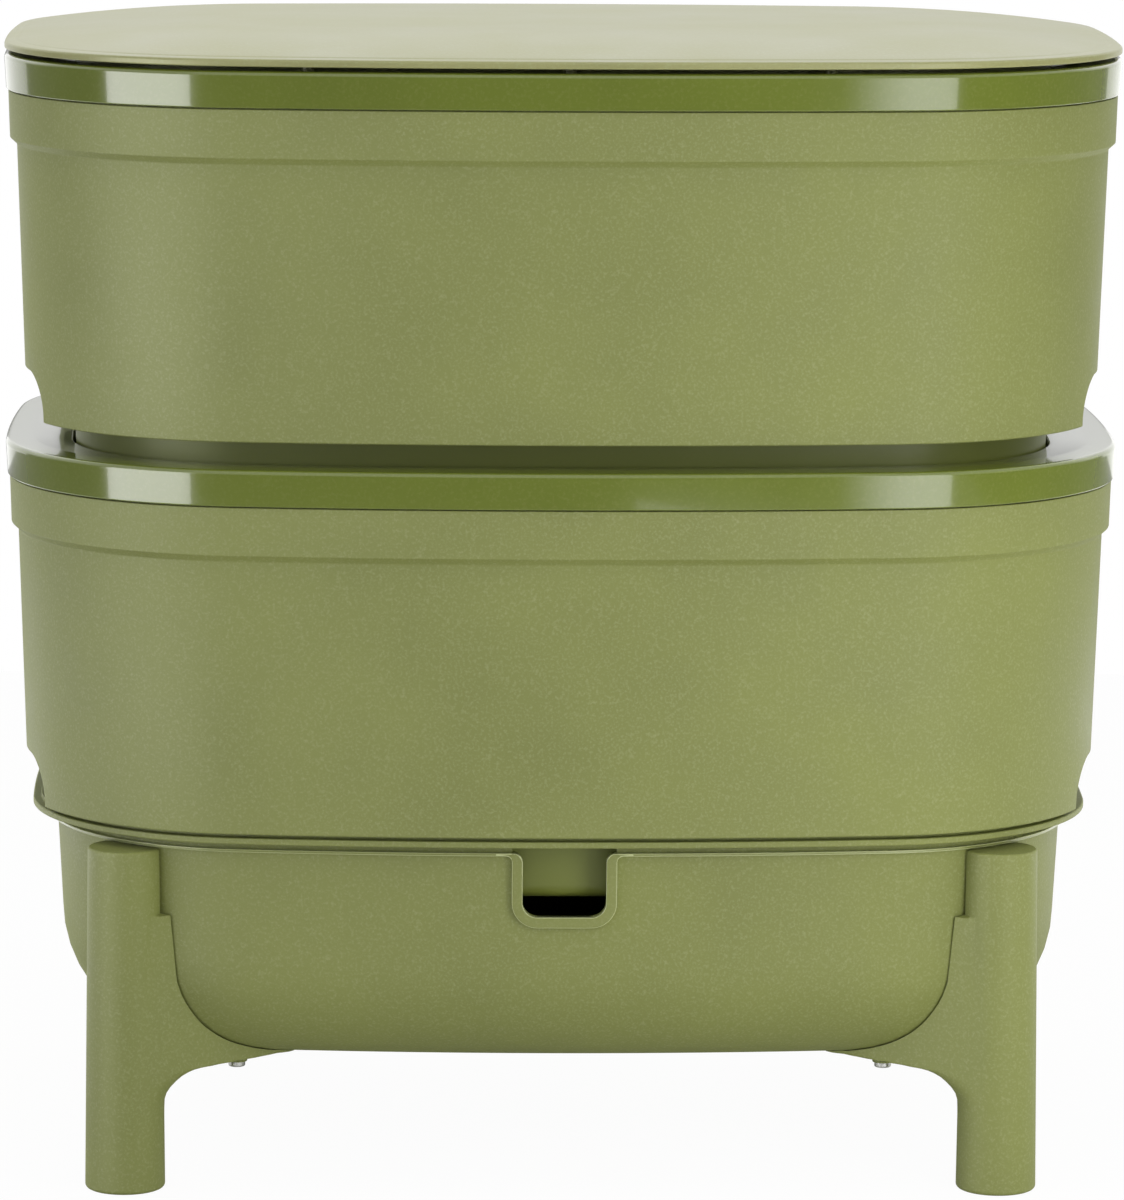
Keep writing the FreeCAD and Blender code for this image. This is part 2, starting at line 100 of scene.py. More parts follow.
class WormeryOval(bpy.types.PropertyGroup):
    """Outline that every moulding follows, measured over the rims."""
    half_length: length("Half length", "Middle to the end of the rim", RIM_HIGH[0])
    half_depth: length("Half depth", "Middle to the front of the rim", RIM_HIGH[1])
    side_radius: length("Side radius", "Radius of the long sides", 1340.0)
    end_radius: length("End radius", "Radius of the ends", 1380.0)
    corner_radius: length("Corner radius", "Radius of the corners", 125.0)
    spacing: length("Spacing", "Distance between sections of a surface", 4.0)


class WormeryTray(bpy.types.PropertyGroup):
    """Rim ring and outer shell of a tray."""
    rim_height: length("Rim height", "Height of the glossy rim", RIM_HIGH[2] - RIM_LOW[2])
    rim_draft: length("Rim draft", "How far the rim's foot stands in", 1.0)
    rim_wall: length("Rim wall", "Thickness of the rim's skirt", 2.4)
    rim_edge_round: length("Rim edge", "Rounding of the rim's top edge", 2.4)
    rim_foot_round: length("Rim foot", "Rounding of the rim's lower edge", 0.6)
    collar_thickness: length("Collar thickness", "Thickness of the collar", 3.0)
    collar_flat: length("Collar flat", "Level part of the collar", 14.0)
    collar_width: length("Collar width", "Width of the collar", 32.0)
    collar_fall: length("Collar fall", "How far the collar falls inwards", 1.2)
    lip_round: length("Lip rounding", "Rounding of thin lips", 0.8)
    seam_gap: length("Seam gap", "Gap between shell and rim", 0.6)
    band_step_in: length("Band step", "How far the band stands in from the rim's foot", 1.0)
    band_height: length("Band height", "Height of the band under the rim", 22.5)
    band_draft: length("Band draft", "Taper of the band", 0.7)
    step_depth: length("Step depth", "Depth of the step under the band", 3.3)
    step_height: length("Step height", "Height of the step under the band", 3.0)
    shell_draft: length("Shell draft", "Taper of the wall under the step", 4.2)
    shell_wall: length("Shell wall", "Thickness of the shell", 2.5)
    foot_width: length("Foot width", "Width of the flange at the shell's foot", 12.0)
    foot_thickness: length("Foot thickness", "Thickness of that flange", 2.5)
    foot_edge: length("Foot edge", "Rounding of the shell's lower edge", 0.8)
    flange_edge: length("Flange edge", "Inset of the upper flange's inner edge", 28.0)
    flange_thickness: length("Flange thickness", "Thickness of the upper flange", 3.0)
    notch_width: length("Notch width", "Width of the finger notch in each end", 204.0)
    notch_height: length("Notch height", "Height of the finger notch", 22.5)
    notch_round: length("Notch rounding", "Rounding of the notch's upper corners", 20.0)


class WormeryLid(bpy.types.PropertyGroup):
    """Domed lid."""
    inset: length("Inset", "How far the lid stands in from the rim", 0.25)
    vent_gap: length("Vent gap", "Gap between rim and lid", 2.0)
    wall: length("Wall", "Thickness of the lid", 3.0)
    edge_height: length("Edge height", "Height of the turned-down edge", 3.3)
    edge_round: length("Edge rounding", "Rounding of the edge", 1.4)
    groove_inset: length("Groove inset", "Inset of the shallow groove inside the edge", 6.0)
    groove_depth: length("Groove depth", "Depth of that groove", 0.3)
    crown_inset: length("Crown inset", "Where the dome turns level", 105.0)
    crown_rise: length("Crown rise", "Height of the dome", 11.0)
    skirt_inset: length("Skirt inset", "Inset of the locating skirt", 33.8)
    skirt_depth: length("Skirt depth", "How far the skirt reaches below the rim's top", 8.5)
    skirt_wall: length("Skirt wall", "Thickness of the skirt", 2.2)
    pad_inset: length("Pad inset", "Inset of the spacer pads", 19.0)
    pad_radius: length("Pad radius", "Radius of the spacer pads", 3.0)
    pad_x: length("Pad spacing", "Distance between the pads on the long sides", 120.0)


class WormeryBowl(bpy.types.PropertyGroup):
    """Collection bowl and its framed window."""
    wall: length("Wall", "Thickness of the bowl", 3.0)
    flange_inset: length("Flange inset", "Inset of the flange's edge", 12.6)
    flange_height: length("Flange height", "Rim to the underside of the flange's edge", 5.0)
    flange_slope: length("Flange slope", "Fall of the flange's underside", 0.6)
    seat_inset: length("Seat inset", "Inset of the raised seat for the tray", 16.5)
    seat_step: length("Seat step", "Height of the seat above the flange", 2.0)
    underside: length("Underside", "Height of the underside above the floor", 59.0)
    wall_inset: length("Wall inset", "Inset of the wall along the front", 21.8)
    end_wall_inset: length("End wall inset", "Inset of the wall at the ends", 24.4)
    bead_drop: length("Bead drop", "Rim to the foot of the bead round the wall", 10.0)
    bead_height: length("Bead height", "Height of the bead", 1.4)
    bead_stand_out: length("Bead stand-out", "How far the bead stands out", 2.8)
    draft: length("Draft", "Taper of the wall", 2.3)
    corner: length("Corner", "Rounding between front wall and underside", 50.0)
    end_corner: length("End corner", "Rounding between end wall and underside", 61.0)
    window_width: length("Window width", "Width of the window", 39.0)
    window_drop: length("Window drop", "Rim to the window's sill", 39.3)
    window_round: length("Window rounding", "Rounding of the window's lower corners", 7.0)
    frame_width: length("Frame width", "Width of the window's raised frame", 4.9)
    frame_flare: length("Frame flare", "Radius at which the frame turns into the bead", 4.5)
    boss_radius: length("Boss radius", "Radius of the screw bosses", 6.5)
    boss_height: length("Boss height", "Height of the bosses above the underside", 13.0)


class WormeryLegs(bpy.types.PropertyGroup):
    """Round posts with a web that runs in under the bowl."""
    inset_x: length("Inset along", "End of the rim to the post's axis", 61.0)
    inset_y: length("Inset across", "Front of the rim to the post's axis", 46.5)
    top_radius: length("Top radius", "Radius of the post's top", 17.2)
    foot_radius: length("Foot radius", "Radius of the post's foot", 18.8)
    foot_round: length("Foot rounding", "Rounding of the foot's edge", 2.0)
    top_round: length("Top rounding", "Rounding of the top's edge", 1.2)
    core_wall: length("Core wall", "Wall of the hollow post", 5.0)
    core_height: length("Core height", "Depth of the hollow", 120.0)
    top_drop: length("Top drop", "Rim of the bowl to the post's top", 10.8)
    web_reach: length("Web reach", "Post's axis to the web's end", 83.0)
    web_top: length("Web top", "Height of the web's upper end", 132.0)
    web_taper: length("Web taper", "How much narrower each side of the web is at its top", 1.0)
    seat_height: length("Seat height", "Height of the screw's seat under the web", 53.5)
    seat_radius: length("Seat radius", "Radius of the screw's seat", 4.8)
    web_floor: length("Web floor", "Thickness of the web under the bowl", 1.7)
    fit_gap: length("Fit gap", "Gap between leg and bowl", 1.3)
    screw_reach: length("Screw reach", "Post's axis to the screw", 60.0)


class WormeryColours(bpy.types.PropertyGroup):
    """Colours of the plastics and the stage."""
    body: colour("Body", "Olive polypropylene of shells, bowl and legs", "#787E40")
    body_light: colour("Body light", "Lighter speckle in the body", "#9CA276")
    rim: colour("Rim", "Polished darker olive of the rims", "#626E1E")
    lid: colour("Lid", "Satin olive of the lid", "#929260")
    # the inner trays' olive is partly their own colour and partly painted shade: set darker and
    # more saturated for the shaded cavity seen through the window and between the trays
    tray: colour("Tray", "Olive of the inner trays", "#6F7730")
    steel: colour("Steel", "Stainless steel of the screws", "#C4C4C2")
    floor: colour("Floor", "Pale floor", "#F4F4F2")


class WormeryStudio(bpy.types.PropertyGroup):
    """Light around the object."""
    ambient: FloatProperty(name="Ambient", description="Light from all round",
                           default=0.675, min=0.0)
    top: FloatProperty(name="Top light", description="Power of the soft box above",
                       default=9.0, min=0.0, unit="POWER")
    left_card: FloatProperty(name="Left card", default=6.5, min=0.0,
                             description="Brightness of the card mirrored on the left")
    right_card: FloatProperty(name="Right card", default=4.2, min=0.0,
                              description="Brightness of the card on the right")
    back_cards: FloatProperty(name="Back cards", default=1.4, min=0.0,
                              description="Brightness of the cards mirrored in the rims' ends")
    low_cards: FloatProperty(name="Low cards", default=2.8, min=0.0,
                             description="Brightness of the cards near the floor")


def sizes(context, *keys):
    """The lengths of the groups with these keys, each as a set of names, in millimetres."""
    groups = [getattr(context.scene, "wormery_" + key) for key in keys]
    return [SimpleNamespace(**{name: getattr(group, name) / MM
                               for name in type(group).__annotations__}) for group in groups]


# Surfaces
def oval_arcs(oval):
    """Centre x, centre y, radius, start and end angle of the oval's eight arcs.

    The corner circle touches the side circle and the end circle from inside, so its
    centre is where two circles of the radius differences cross.
    """
    side_y = oval.half_depth - oval.side_radius
    end_x = oval.half_length - oval.end_radius
    reach_side = oval.side_radius - oval.corner_radius
    reach_end = oval.end_radius - oval.corner_radius
    span = math.hypot(end_x, side_y)
    along = (reach_side ** 2 - reach_end ** 2 + span ** 2) / (2 * span)
    across = math.sqrt(reach_side ** 2 - along ** 2)
    x = (end_x * along - side_y * across) / span
    y = side_y - (side_y * along + end_x * across) / span
    low = math.atan2(y, x - end_x)
    high = math.atan2(y - side_y, x)
    turn = math.pi
    corner = oval.corner_radius
    return np.array([
        (end_x, 0.0, oval.end_radius, -low, low),
        (x, y, corner, low, high),
        (0.0, side_y, oval.side_radius, high, turn - high),
        (-x, y, corner, turn - high, turn - low),
        (-end_x, 0.0, oval.end_radius, turn - low, turn + low),
        (-x, -y, corner, turn + low, turn + high),
        (0.0, -side_y, oval.side_radius, turn + high, 2 * turn - high),
        (x, -y, corner, 2 * turn - high, 2 * turn - low),
    ])


def stations(oval, crossings=()):
    """Where sections stand round the oval: centre x, centre y, radius and angle.

    Each arc is cut into equal steps. Extra stations stand where the oval passes a
    crossing, a distance from the X axis: the angle whose sine is (crossing - centre y)
    / radius, and its mirror image.
    """
    wanted = np.concatenate([np.array(crossings), -np.array(crossings)])
    rows = []
    for x, y, radius, start, end in oval_arcs(oval):
        count = max(3, math.ceil(radius * (end - start) / oval.spacing))
        angles = start + (end - start) * np.arange(count) / count
        sine = (wanted - y) / radius
        rise = np.arcsin(sine[np.abs(sine) < 1.0])
        extra = np.mod(np.concatenate([rise, math.pi - rise]) - start, 2 * math.pi)
        extra = extra[(extra > 1e-4) & (extra < end - start - 1e-4)]
        angles = np.unique(np.round(np.concatenate([angles, start + extra]), 6))
        rows.append(np.column_stack([np.full((len(angles), 3), (x, y, radius)), angles]))
    return np.vstack(rows)


def soften(corners, closed=True, steps=5):
    """Section points (inset, height) with each corner turned into a touching arc.

    Corners are (inset, height, rounding). The arc's centre lies on the bisector at
    rounding / sin(half the corner), and its points turn evenly from one side to the
    other: sin((1 - t) w) / sin w of the first radius plus sin(t w) / sin w of the last.
    """
    points = []
    last = len(corners) - 1
    for index, (inset, height, rounding) in enumerate(corners):
        corner = np.array((inset, height))
        if rounding == 0 or (not closed and index in (0, last)):
            points.append(corner[None])
            continue
        back = np.array(corners[index - 1][:2]) - corner
        on = np.array(corners[(index + 1) % len(corners)][:2]) - corner
        back = back / np.linalg.norm(back)
        on = on / np.linalg.norm(on)
        half = math.acos(float(back @ on)) / 2
        middle = (back + on) / np.linalg.norm(back + on)
        centre = corner + middle * rounding / math.sin(half)
        first = corner + back * rounding / math.tan(half) - centre
        final = corner + on * rounding / math.tan(half) - centre
        sweep = math.pi - 2 * half
        t = np.linspace(0.0, 1.0, steps + 1)[:, None]
        turn = (np.sin((1 - t) * sweep) * first + np.sin(t * sweep) * final) / math.sin(sweep)
        points.append(centre + turn)
    return np.vstack(points)


def carry(places, section):
    """Grid of a section carried round the oval, one row of points for each station.

    The section is a list of (inset, height) points, or one such list for each station.
    Each point is centre + (radius - inset) x (cos angle, sin angle), at its height.
    """
    x, y, radius, angle = (column[:, None] for column in places.T)
    out = radius - section[..., 0]
    height = np.broadcast_to(section[..., 1], out.shape)
    return np.stack([x + out * np.cos(angle), y + out * np.sin(angle), height], axis=-1)


def grid_faces(rows, columns, wrap_columns):
    """Four-sided faces of a grid whose rows close on themselves."""
    i = np.arange(rows)
    j = np.arange(columns if wrap_columns else columns - 1)
    i, j = np.meshgrid(i, j, indexing="ij")
    on, up = (i + 1) % rows, (j + 1) % columns
    corners = [i * columns + j, on * columns + j, on * columns + up, i * columns + up]
    return np.stack(corners, axis=-1).reshape(-1, 4).tolist()


def hoop(places, section):
    """Closed section carried round the oval: one closed surface, as points and faces."""
    grid = carry(places, section)
    return grid.reshape(-1, 3), grid_faces(grid.shape[0], grid.shape[1], True)


def dish(places, section):
    """Open section carried round the oval, with a flat plate over each end of it."""
    grid = carry(places, section)
    rows, columns = grid.shape[:2]
    faces = grid_faces(rows, columns, False)
    first = np.arange(rows) * columns
    faces.append(first.tolist())
    faces.append((first + columns - 1).tolist())
    return grid.reshape(-1, 3), faces


def turned(profile, x, y, sides=32):
    """Profile of (radius, height) points turned about an upright axis at x, y.

    Each point is (x + r cos a, y + r sin a, height); the profile starts and ends on the
    axis, where the doubled points are merged later.
    """
    angle = np.arange(sides)[:, None] * 2 * math.pi / sides
    radius, height = np.array(profile).T
    grid = np.stack([x + radius * np.cos(angle), y + radius * np.sin(angle),
                     np.broadcast_to(height, (sides, len(radius)))], axis=-1)
    return grid.reshape(-1, 3), grid_faces(sides, len(radius), False)


def post(x, y, bottom, top, radius, edge=0.4):
    """Short round post with softened edges, as points and faces."""
    profile = soften([(0, bottom, 0), (radius, bottom, edge), (radius, top, edge), (0, top, 0)],
                     closed=False, steps=3)
    return turned(profile, x, y)


def side_point(oval, inset, x, side):
    """Point on the front (side -1) or back (side 1), at one inset and length."""
    run = math.sqrt((oval.side_radius - inset) ** 2 - x ** 2)
    return x, side * (oval.half_depth - oval.side_radius + run)


def end_point(oval, inset, y, side):
    """Point on the left (side -1) or right (side 1) end, at one inset and depth."""
    run = math.sqrt((oval.end_radius - inset) ** 2 - y ** 2)
    return side * (oval.half_length - oval.end_radius + run), y


def mesh_of(name, patches):
    """Mesh of several surfaces given in millimetres, with every face turned outwards."""
    vertices, faces, start = [], [], 0
    for points, corners in patches:
        vertices.append(points)
        faces.extend([[start + index for index in face] for face in corners])
        start += len(points)
    mesh = bpy.data.meshes.new(name)
    mesh.from_pydata((np.vstack(vertices) * MM).tolist(), [], faces)
    work = bmesh.new()
    work.from_mesh(mesh)
    bmesh.ops.remove_doubles(work, verts=work.verts, dist=1e-6)
    bmesh.ops.dissolve_degenerate(work, edges=work.edges, dist=1e-7)
    bmesh.ops.recalc_face_normals(work, faces=work.faces)
    work.to_mesh(mesh)
    work.free()
    return mesh


def paint_edge_highlight(mesh, angle=10.0):
    """Attribute "edge", the mask of a painted highlight: 1 where the faces round a point turn by
    more than the angle, else 0.
    """
    work = bmesh.new()
    work.from_mesh(mesh)
    turned_edges = [edge.calc_face_angle(0.0) > math.radians(angle) for edge in work.edges]
    flags = np.zeros(len(work.verts))
    ends = np.array([[vert.index for vert in edge.verts] for edge in work.edges])
    flags[ends[np.array(turned_edges)].ravel()] = 1.0
    work.free()
    mesh.attributes.new("edge", "FLOAT", "POINT").data.foreach_set("value", flags)


def shade(mesh, angle=38.0):
    """Smooth shading that breaks at edges sharper than the angle, in degrees."""
    mesh.polygons.foreach_set("use_smooth", np.ones(len(mesh.polygons), dtype=bool))
    mesh.set_sharp_from_angle(angle=math.radians(angle))
    mesh.update()


def placed(name, data):
    """New object for a mesh, a lamp or a camera, in the scene."""
    item = bpy.data.objects.new(name, data)
    bpy.context.scene.collection.objects.link(item)
    return item


def finish_piece(mesh, material, body, node=None):
    """Object for a mesh: shaded, painted, riding on its body and standing for its node."""
    shade(mesh)
    mesh.materials.clear()
    mesh.materials.append(material)
    piece = placed(mesh.name, mesh)
    weights = piece.modifiers.new("even shading", "WEIGHTED_NORMAL")
    weights.keep_sharp = True
    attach(piece, body)
    if node:
        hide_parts(node)


def joined_copy(node, name):
    """Mesh of a CAD node with its loose triangles joined and its flat faces made whole."""
    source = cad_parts[node].data
    points = np.zeros(len(source.vertices) * 3)
    source.vertices.foreach_get("co", points)
    corners = np.zeros(len(source.loops), dtype=int)
    source.loops.foreach_get("vertex_index", corners)
    mesh = bpy.data.meshes.new(name)
    mesh.from_pydata(points.reshape(-1, 3).tolist(), [], corners.reshape(-1, 3).tolist())
    work = bmesh.new()
    work.from_mesh(mesh)
    bmesh.ops.remove_doubles(work, verts=work.verts, dist=2e-6)
    bmesh.ops.dissolve_degenerate(work, edges=work.edges, dist=1e-7)
    bmesh.ops.dissolve_limit(work, angle_limit=math.radians(0.05), verts=work.verts,
                             edges=work.edges)
    work.to_mesh(mesh)
    work.free()
    return mesh


def cut(mesh, cutter_patches):
    """New mesh in place of the old one, with a closed cutter taken out of it."""
    name = mesh.name
    body = placed("blank", mesh)
    knife = placed("cutter", mesh_of("cutter", cutter_patches))
    step = body.modifiers.new("cut", "BOOLEAN")
    step.operation = "DIFFERENCE"
    step.solver = "EXACT"
    step.object = knife
    bpy.context.view_layer.update()
    shaped = body.evaluated_get(bpy.context.evaluated_depsgraph_get())
    result = bpy.data.meshes.new_from_object(shaped)
    for item in (body, knife):
        bpy.data.objects.remove(item)
    bpy.data.meshes.remove(mesh)
    result.name = name
    return result


# Materials
MATT = "matt moulded polypropylene"            # shells, bowl and legs
SMOOTH = "smooth moulded polypropylene"        # bead and window frame
POLISHED = "polished moulded polypropylene"    # rims
SATIN = "satin moulded polypropylene"          # lid
INNER = "plain moulded polypropylene"          # inner trays
STEEL = "cold-headed stainless steel"          # screws
# colour, colour of the speckle and of the painted edge highlight, roughness, grain, relief, share
# of the speckle, coat
PLASTICS = {
    MATT: ("body", "body_light", 0.6, 1.2, 0.06, 0.32, 0.0),
    SMOOTH: ("body", "body_light", 0.3, 1.2, 0.01, 0.2, 0.3),
    POLISHED: ("rim", "body", 0.16, 1.6, 0.004, 0.3, 0.6),
    SATIN: ("lid", "body_light", 0.36, 1.6, 0.06, 0.4, 0.0),
    INNER: ("tray", "body", 0.45, 1.6, 0.03, 0.12, 0.0),
}
DRIFT_WIDTH = 90    # millimetres from one darker patch of the colour to the next


def add(tree, kind, settings=None, inputs=None):
    """Adds a shader node, sets its properties, and sets or links its inputs."""
    node = tree.nodes.new(kind)
    for key, value in (settings or {}).items():
        setattr(node, key, value)
    for key, value in (inputs or {}).items():
        if isinstance(value, bpy.types.NodeSocket):
            tree.links.new(value, node.inputs[key])
        else:
            node.inputs[key].default_value = value
    return node


def opaque(rgb, share=1.0):
    """Colour with an alpha of one, darkened or lightened by a share."""
    return tuple(min(1.0, channel * share) for channel in rgb) + (1.0,)


def blank_material(name):
    """New material with an empty node tree, and the tree."""
    material = bpy.data.materials.new(name)
    material.use_nodes = True
    material.node_tree.nodes.clear()
    return material, material.node_tree


def moulded_plastic(name, rgb, speckle_and_highlight_rgb, roughness, grain, relief, speckle, coat):
    """Injection-moulded polypropylene.

    To the eye it is one olive that drifts slowly in depth where the melt cooled, with a
    fine pearly speckle. Edges that the attribute "edge" marks get a painted highlight: their
    colour is mixed towards the speckle's colour, half as bright again. The mould's own surface
    gives the grain and the depth of the relief, in millimetres: a textured mould leaves the
    plastic matt, and a polished one smooth, with a coat for the gloss. Such a grain is usually
    a few tenths of a millimetre, too fine to show in the render, so it is drawn coarser here.
    """
    tree = blank_material(name)[1]
    place = add(tree, "ShaderNodeTexCoord").outputs["Object"]
    drift = add(tree, "ShaderNodeTexNoise", inputs={
        "Vector": place, "Scale": 1 / (DRIFT_WIDTH * MM), "Detail": 3.0, "Roughness": 0.55})
    fine = add(tree, "ShaderNodeTexNoise", inputs={
        "Vector": place, "Scale": 1 / (grain * MM), "Detail": 2.0, "Roughness": 0.6})
    shade_range = add(tree, "ShaderNodeMapRange", inputs={
        "Value": drift.outputs["Fac"], "From Min": 0.3, "From Max": 0.7,
        "To Min": 0.0, "To Max": 1.0})
    ground = add(tree, "ShaderNodeMix", {"data_type": "RGBA"}, {
        0: shade_range.outputs["Result"], 6: opaque(rgb, 0.92), 7: opaque(rgb, 1.04)})
    fleck = add(tree, "ShaderNodeMapRange", inputs={
        "Value": fine.outputs["Fac"], "From Min": 0.5, "From Max": 0.72,
        "To Min": 0.0, "To Max": speckle})
    flecked = add(tree, "ShaderNodeMix", {"data_type": "RGBA"}, {
        0: fleck.outputs["Result"], 6: ground.outputs[2], 7: opaque(speckle_and_highlight_rgb)})
    dull = add(tree, "ShaderNodeMapRange", inputs={
        "Value": drift.outputs["Fac"], "From Min": 0.2, "From Max": 0.8,
        "To Min": roughness * 0.82, "To Max": roughness * 1.18})
    bump = add(tree, "ShaderNodeBump", inputs={
        "Strength": 1.0, "Distance": relief * MM, "Height": fine.outputs["Fac"]})
    # painted highlight: where the attribute "edge" is set, the colour goes towards the speckle's
    # colour, half as bright again
    highlight_mask = add(tree, "ShaderNodeAttribute", {"attribute_name": "edge"})
    highlight_share = add(tree, "ShaderNodeMapRange", inputs={
        "Value": highlight_mask.outputs["Fac"], "To Min": 0.0, "To Max": 0.95})
    edged = add(tree, "ShaderNodeMix", {"data_type": "RGBA"}, {
        0: highlight_share.outputs["Result"], 6: flecked.outputs[2], 7: opaque(speckle_and_highlight_rgb, 1.5)})
    surface = add(tree, "ShaderNodeBsdfPrincipled", inputs={
        "Base Color": edged.outputs[2], "Roughness": dull.outputs["Result"], "IOR": 1.49,
        "Normal": bump.outputs["Normal"], "Coat Weight": coat, "Coat Roughness": 0.05})
    add(tree, "ShaderNodeOutputMaterial", inputs={"Surface": surface.outputs["BSDF"]})


def stainless_screw(name, rgb):
    """Cold-headed stainless steel: bright, its gloss a little uneven from the punch."""
    tree = blank_material(name)[1]
    place = add(tree, "ShaderNodeTexCoord").outputs["Object"]
    uneven = add(tree, "ShaderNodeTexNoise", inputs={
        "Vector": place, "Scale": 1 / (0.8 * MM), "Detail": 2.0})
    rough = add(tree, "ShaderNodeMapRange", inputs={
        "Value": uneven.outputs["Fac"], "To Min": 0.22, "To Max": 0.4})
    surface = add(tree, "ShaderNodeBsdfPrincipled", inputs={
        "Base Color": opaque(rgb), "Metallic": 1.0, "Roughness": rough.outputs["Result"]})
    add(tree, "ShaderNodeOutputMaterial", inputs={"Surface": surface.outputs["BSDF"]})


def studio_floor(name, rgb):
    """Seamless paper: plain, matt, almost white to the camera, with a faint shadow."""
    material, tree = blank_material(name)
    paper = add(tree, "ShaderNodeBsdfDiffuse", inputs={"Color": opaque(rgb, 0.9)})
    glow = add(tree, "ShaderNodeEmission", inputs={"Color": (1, 1, 1, 1), "Strength": 1.0})
    seen = add(tree, "ShaderNodeLightPath")
    part = add(tree, "ShaderNodeMath", {"operation": "MULTIPLY"}, {
        0: seen.outputs["Is Camera Ray"], 1: 0.965})
    both = add(tree, "ShaderNodeMixShader", inputs={
        0: part.outputs[0], 1: paper.outputs[0], 2: glow.outputs[0]})
    add(tree, "ShaderNodeOutputMaterial", inputs={"Surface": both.outputs[0]})
    return material


def finishes(context):
    """The object's materials, made once from the colours in the panel."""
    paint = context.scene.wormery_colours
    if STEEL not in bpy.data.materials:
        for name, (ground, fleck, *finish) in PLASTICS.items():
            moulded_plastic(name, getattr(paint, ground), getattr(paint, fleck), *finish)
        stainless_screw(STEEL, paint.steel)
    return bpy.data.materials


# One operator for each piece or group of like pieces
# Shares of the crown's inset at which the dome's sections stand, and the same for the
# groove, in millimetres from its middle
DOME_SHARES = np.array([1.0, 0.84, 0.68, 0.54, 0.42, 0.32, 0.23, 0.16, 0.11])
GROOVE_STEPS = np.array([3.0, 1.6, 0.8, 0.0, -0.8, -1.6])
GROOVE_SPREAD = 0.9


def lid_rise(lid, inset):
    """Rise of the dome above the lid's foot: edge height + climb x (1 - (1 - share)^2)."""
    share = (inset - lid.inset) / (lid.crown_inset - lid.inset)
    return lid.edge_height + (lid.crown_rise - lid.edge_height) * (1 - (1 - share) ** 2)


class WORMERY_OT_lid(bpy.types.Operator):
    """Make the domed lid with its locating skirt and spacer pads"""
    bl_idname = "wormery.lid"
    bl_label = "Lid"

    def execute(self, context):
        oval, lid, tray = sizes(context, "oval", "lid", "tray")
        places = stations(oval)
        rim_top = UPPER_RIM_HIGH[2]
        bottom = rim_top + lid.vent_gap
        inner = lid.inset + lid.wall
        # the dome is a parabola, less a groove of depth x exp(-(distance / spread)^2)
        across = np.concatenate([DOME_SHARES * lid.crown_inset, lid.groove_inset + GROOVE_STEPS])
        dip = lid.groove_depth * np.exp(-((across - lid.groove_inset) / GROOVE_SPREAD) ** 2)
        outer = [(inset, height, 0) for inset, height in zip(across, lid_rise(lid, across) - dip)]
        under = [(inset, lid_rise(lid, inset) - lid.wall, 0)
                 for inset in np.linspace(inner, lid.crown_inset, 8)]
        profile = outer + [
            (lid.inset, lid.edge_height, lid.edge_round),
            (lid.inset, 0.0, 0.8),
            (inner, 0.0, 0.3),
        ] + under
        cover = dish(places, soften(profile, closed=False, steps=8) + (0.0, bottom))
        plate = bottom + lid_rise(lid, lid.skirt_inset) - lid.wall / 2
        low = rim_top - lid.skirt_depth
        skirt = hoop(places, soften([
            (lid.skirt_inset, low, 0.8),
            (lid.skirt_inset, plate, 0),
            (lid.skirt_inset + lid.skirt_wall, plate, 0),
            (lid.skirt_inset + lid.skirt_wall, low, 0.8),
        ]))
        spots = [side_point(oval, lid.pad_inset, x, side)
                 for side in (-1, 1) for x in (-lid.pad_x, 0.0, lid.pad_x)]
        spots += [end_point(oval, lid.pad_inset, 0.0, side) for side in (-1, 1)]
        seat = bottom + lid_rise(lid, lid.pad_inset) - lid.wall / 2
        # the pads stand on the collar, where it already falls a little
        fall = tray.collar_fall * ((lid.pad_inset - tray.collar_flat)
                                   / (tray.collar_width - tray.collar_flat))
        pads = [post(x, y, rim_top - fall, seat, lid.pad_radius) for x, y in spots]
        finish_piece(mesh_of("lid_cover", [cover, skirt] + pads), finishes(context)[SATIN],
                     "lid", "lid")
        return {"FINISHED"}


class WORMERY_OT_rims(bpy.types.Operator):
    """Make the polished rim ring of each tray"""
    bl_idname = "wormery.rims"
    bl_label = "Rim rings"

    def execute(self, context):
        oval, tray = sizes(context, "oval", "tray")
        places = stations(oval)
        for level, top in (("lower", RIM_HIGH[2]), ("upper", UPPER_RIM_HIGH[2])):
            bottom = top - tray.rim_height
            under = top - tray.collar_thickness
            inner = tray.rim_draft + tray.rim_wall
            ring = hoop(places, soften([
                (tray.rim_draft, bottom, tray.rim_foot_round),
                (0.0, top, tray.rim_edge_round),
                (tray.collar_flat, top, 6.0),
                (tray.collar_width, top - tray.collar_fall, tray.lip_round),
                (tray.collar_width, under, 0.3),
                (inner, under, 0.3),
                (inner, bottom, 0.3),
            ]))
            finish_piece(mesh_of(level + "_rim", [ring]), finishes(context)[POLISHED],
                         level + "_tray", level + "_rim_ring")
        return {"FINISHED"}


NOTCH_SIDE = 0.02    # half the run of the notch's short upright side, in millimetres


def notch_lift(tray, y):
    """How far the shell's foot is lifted at a distance y from the X axis.

    The notch is an arch: level at its height, then a quarter circle of the notch's
    rounding down to a short upright side, and nothing outside the half width.
    """
    half = tray.notch_width / 2
    level = half - tray.notch_round
    over = np.clip(np.abs(y) - level, 0.0, tray.notch_round)
    arch = tray.notch_height - tray.notch_round + np.sqrt(tray.notch_round ** 2 - over ** 2)
    return np.where(np.abs(y) < half, arch, 0.0)


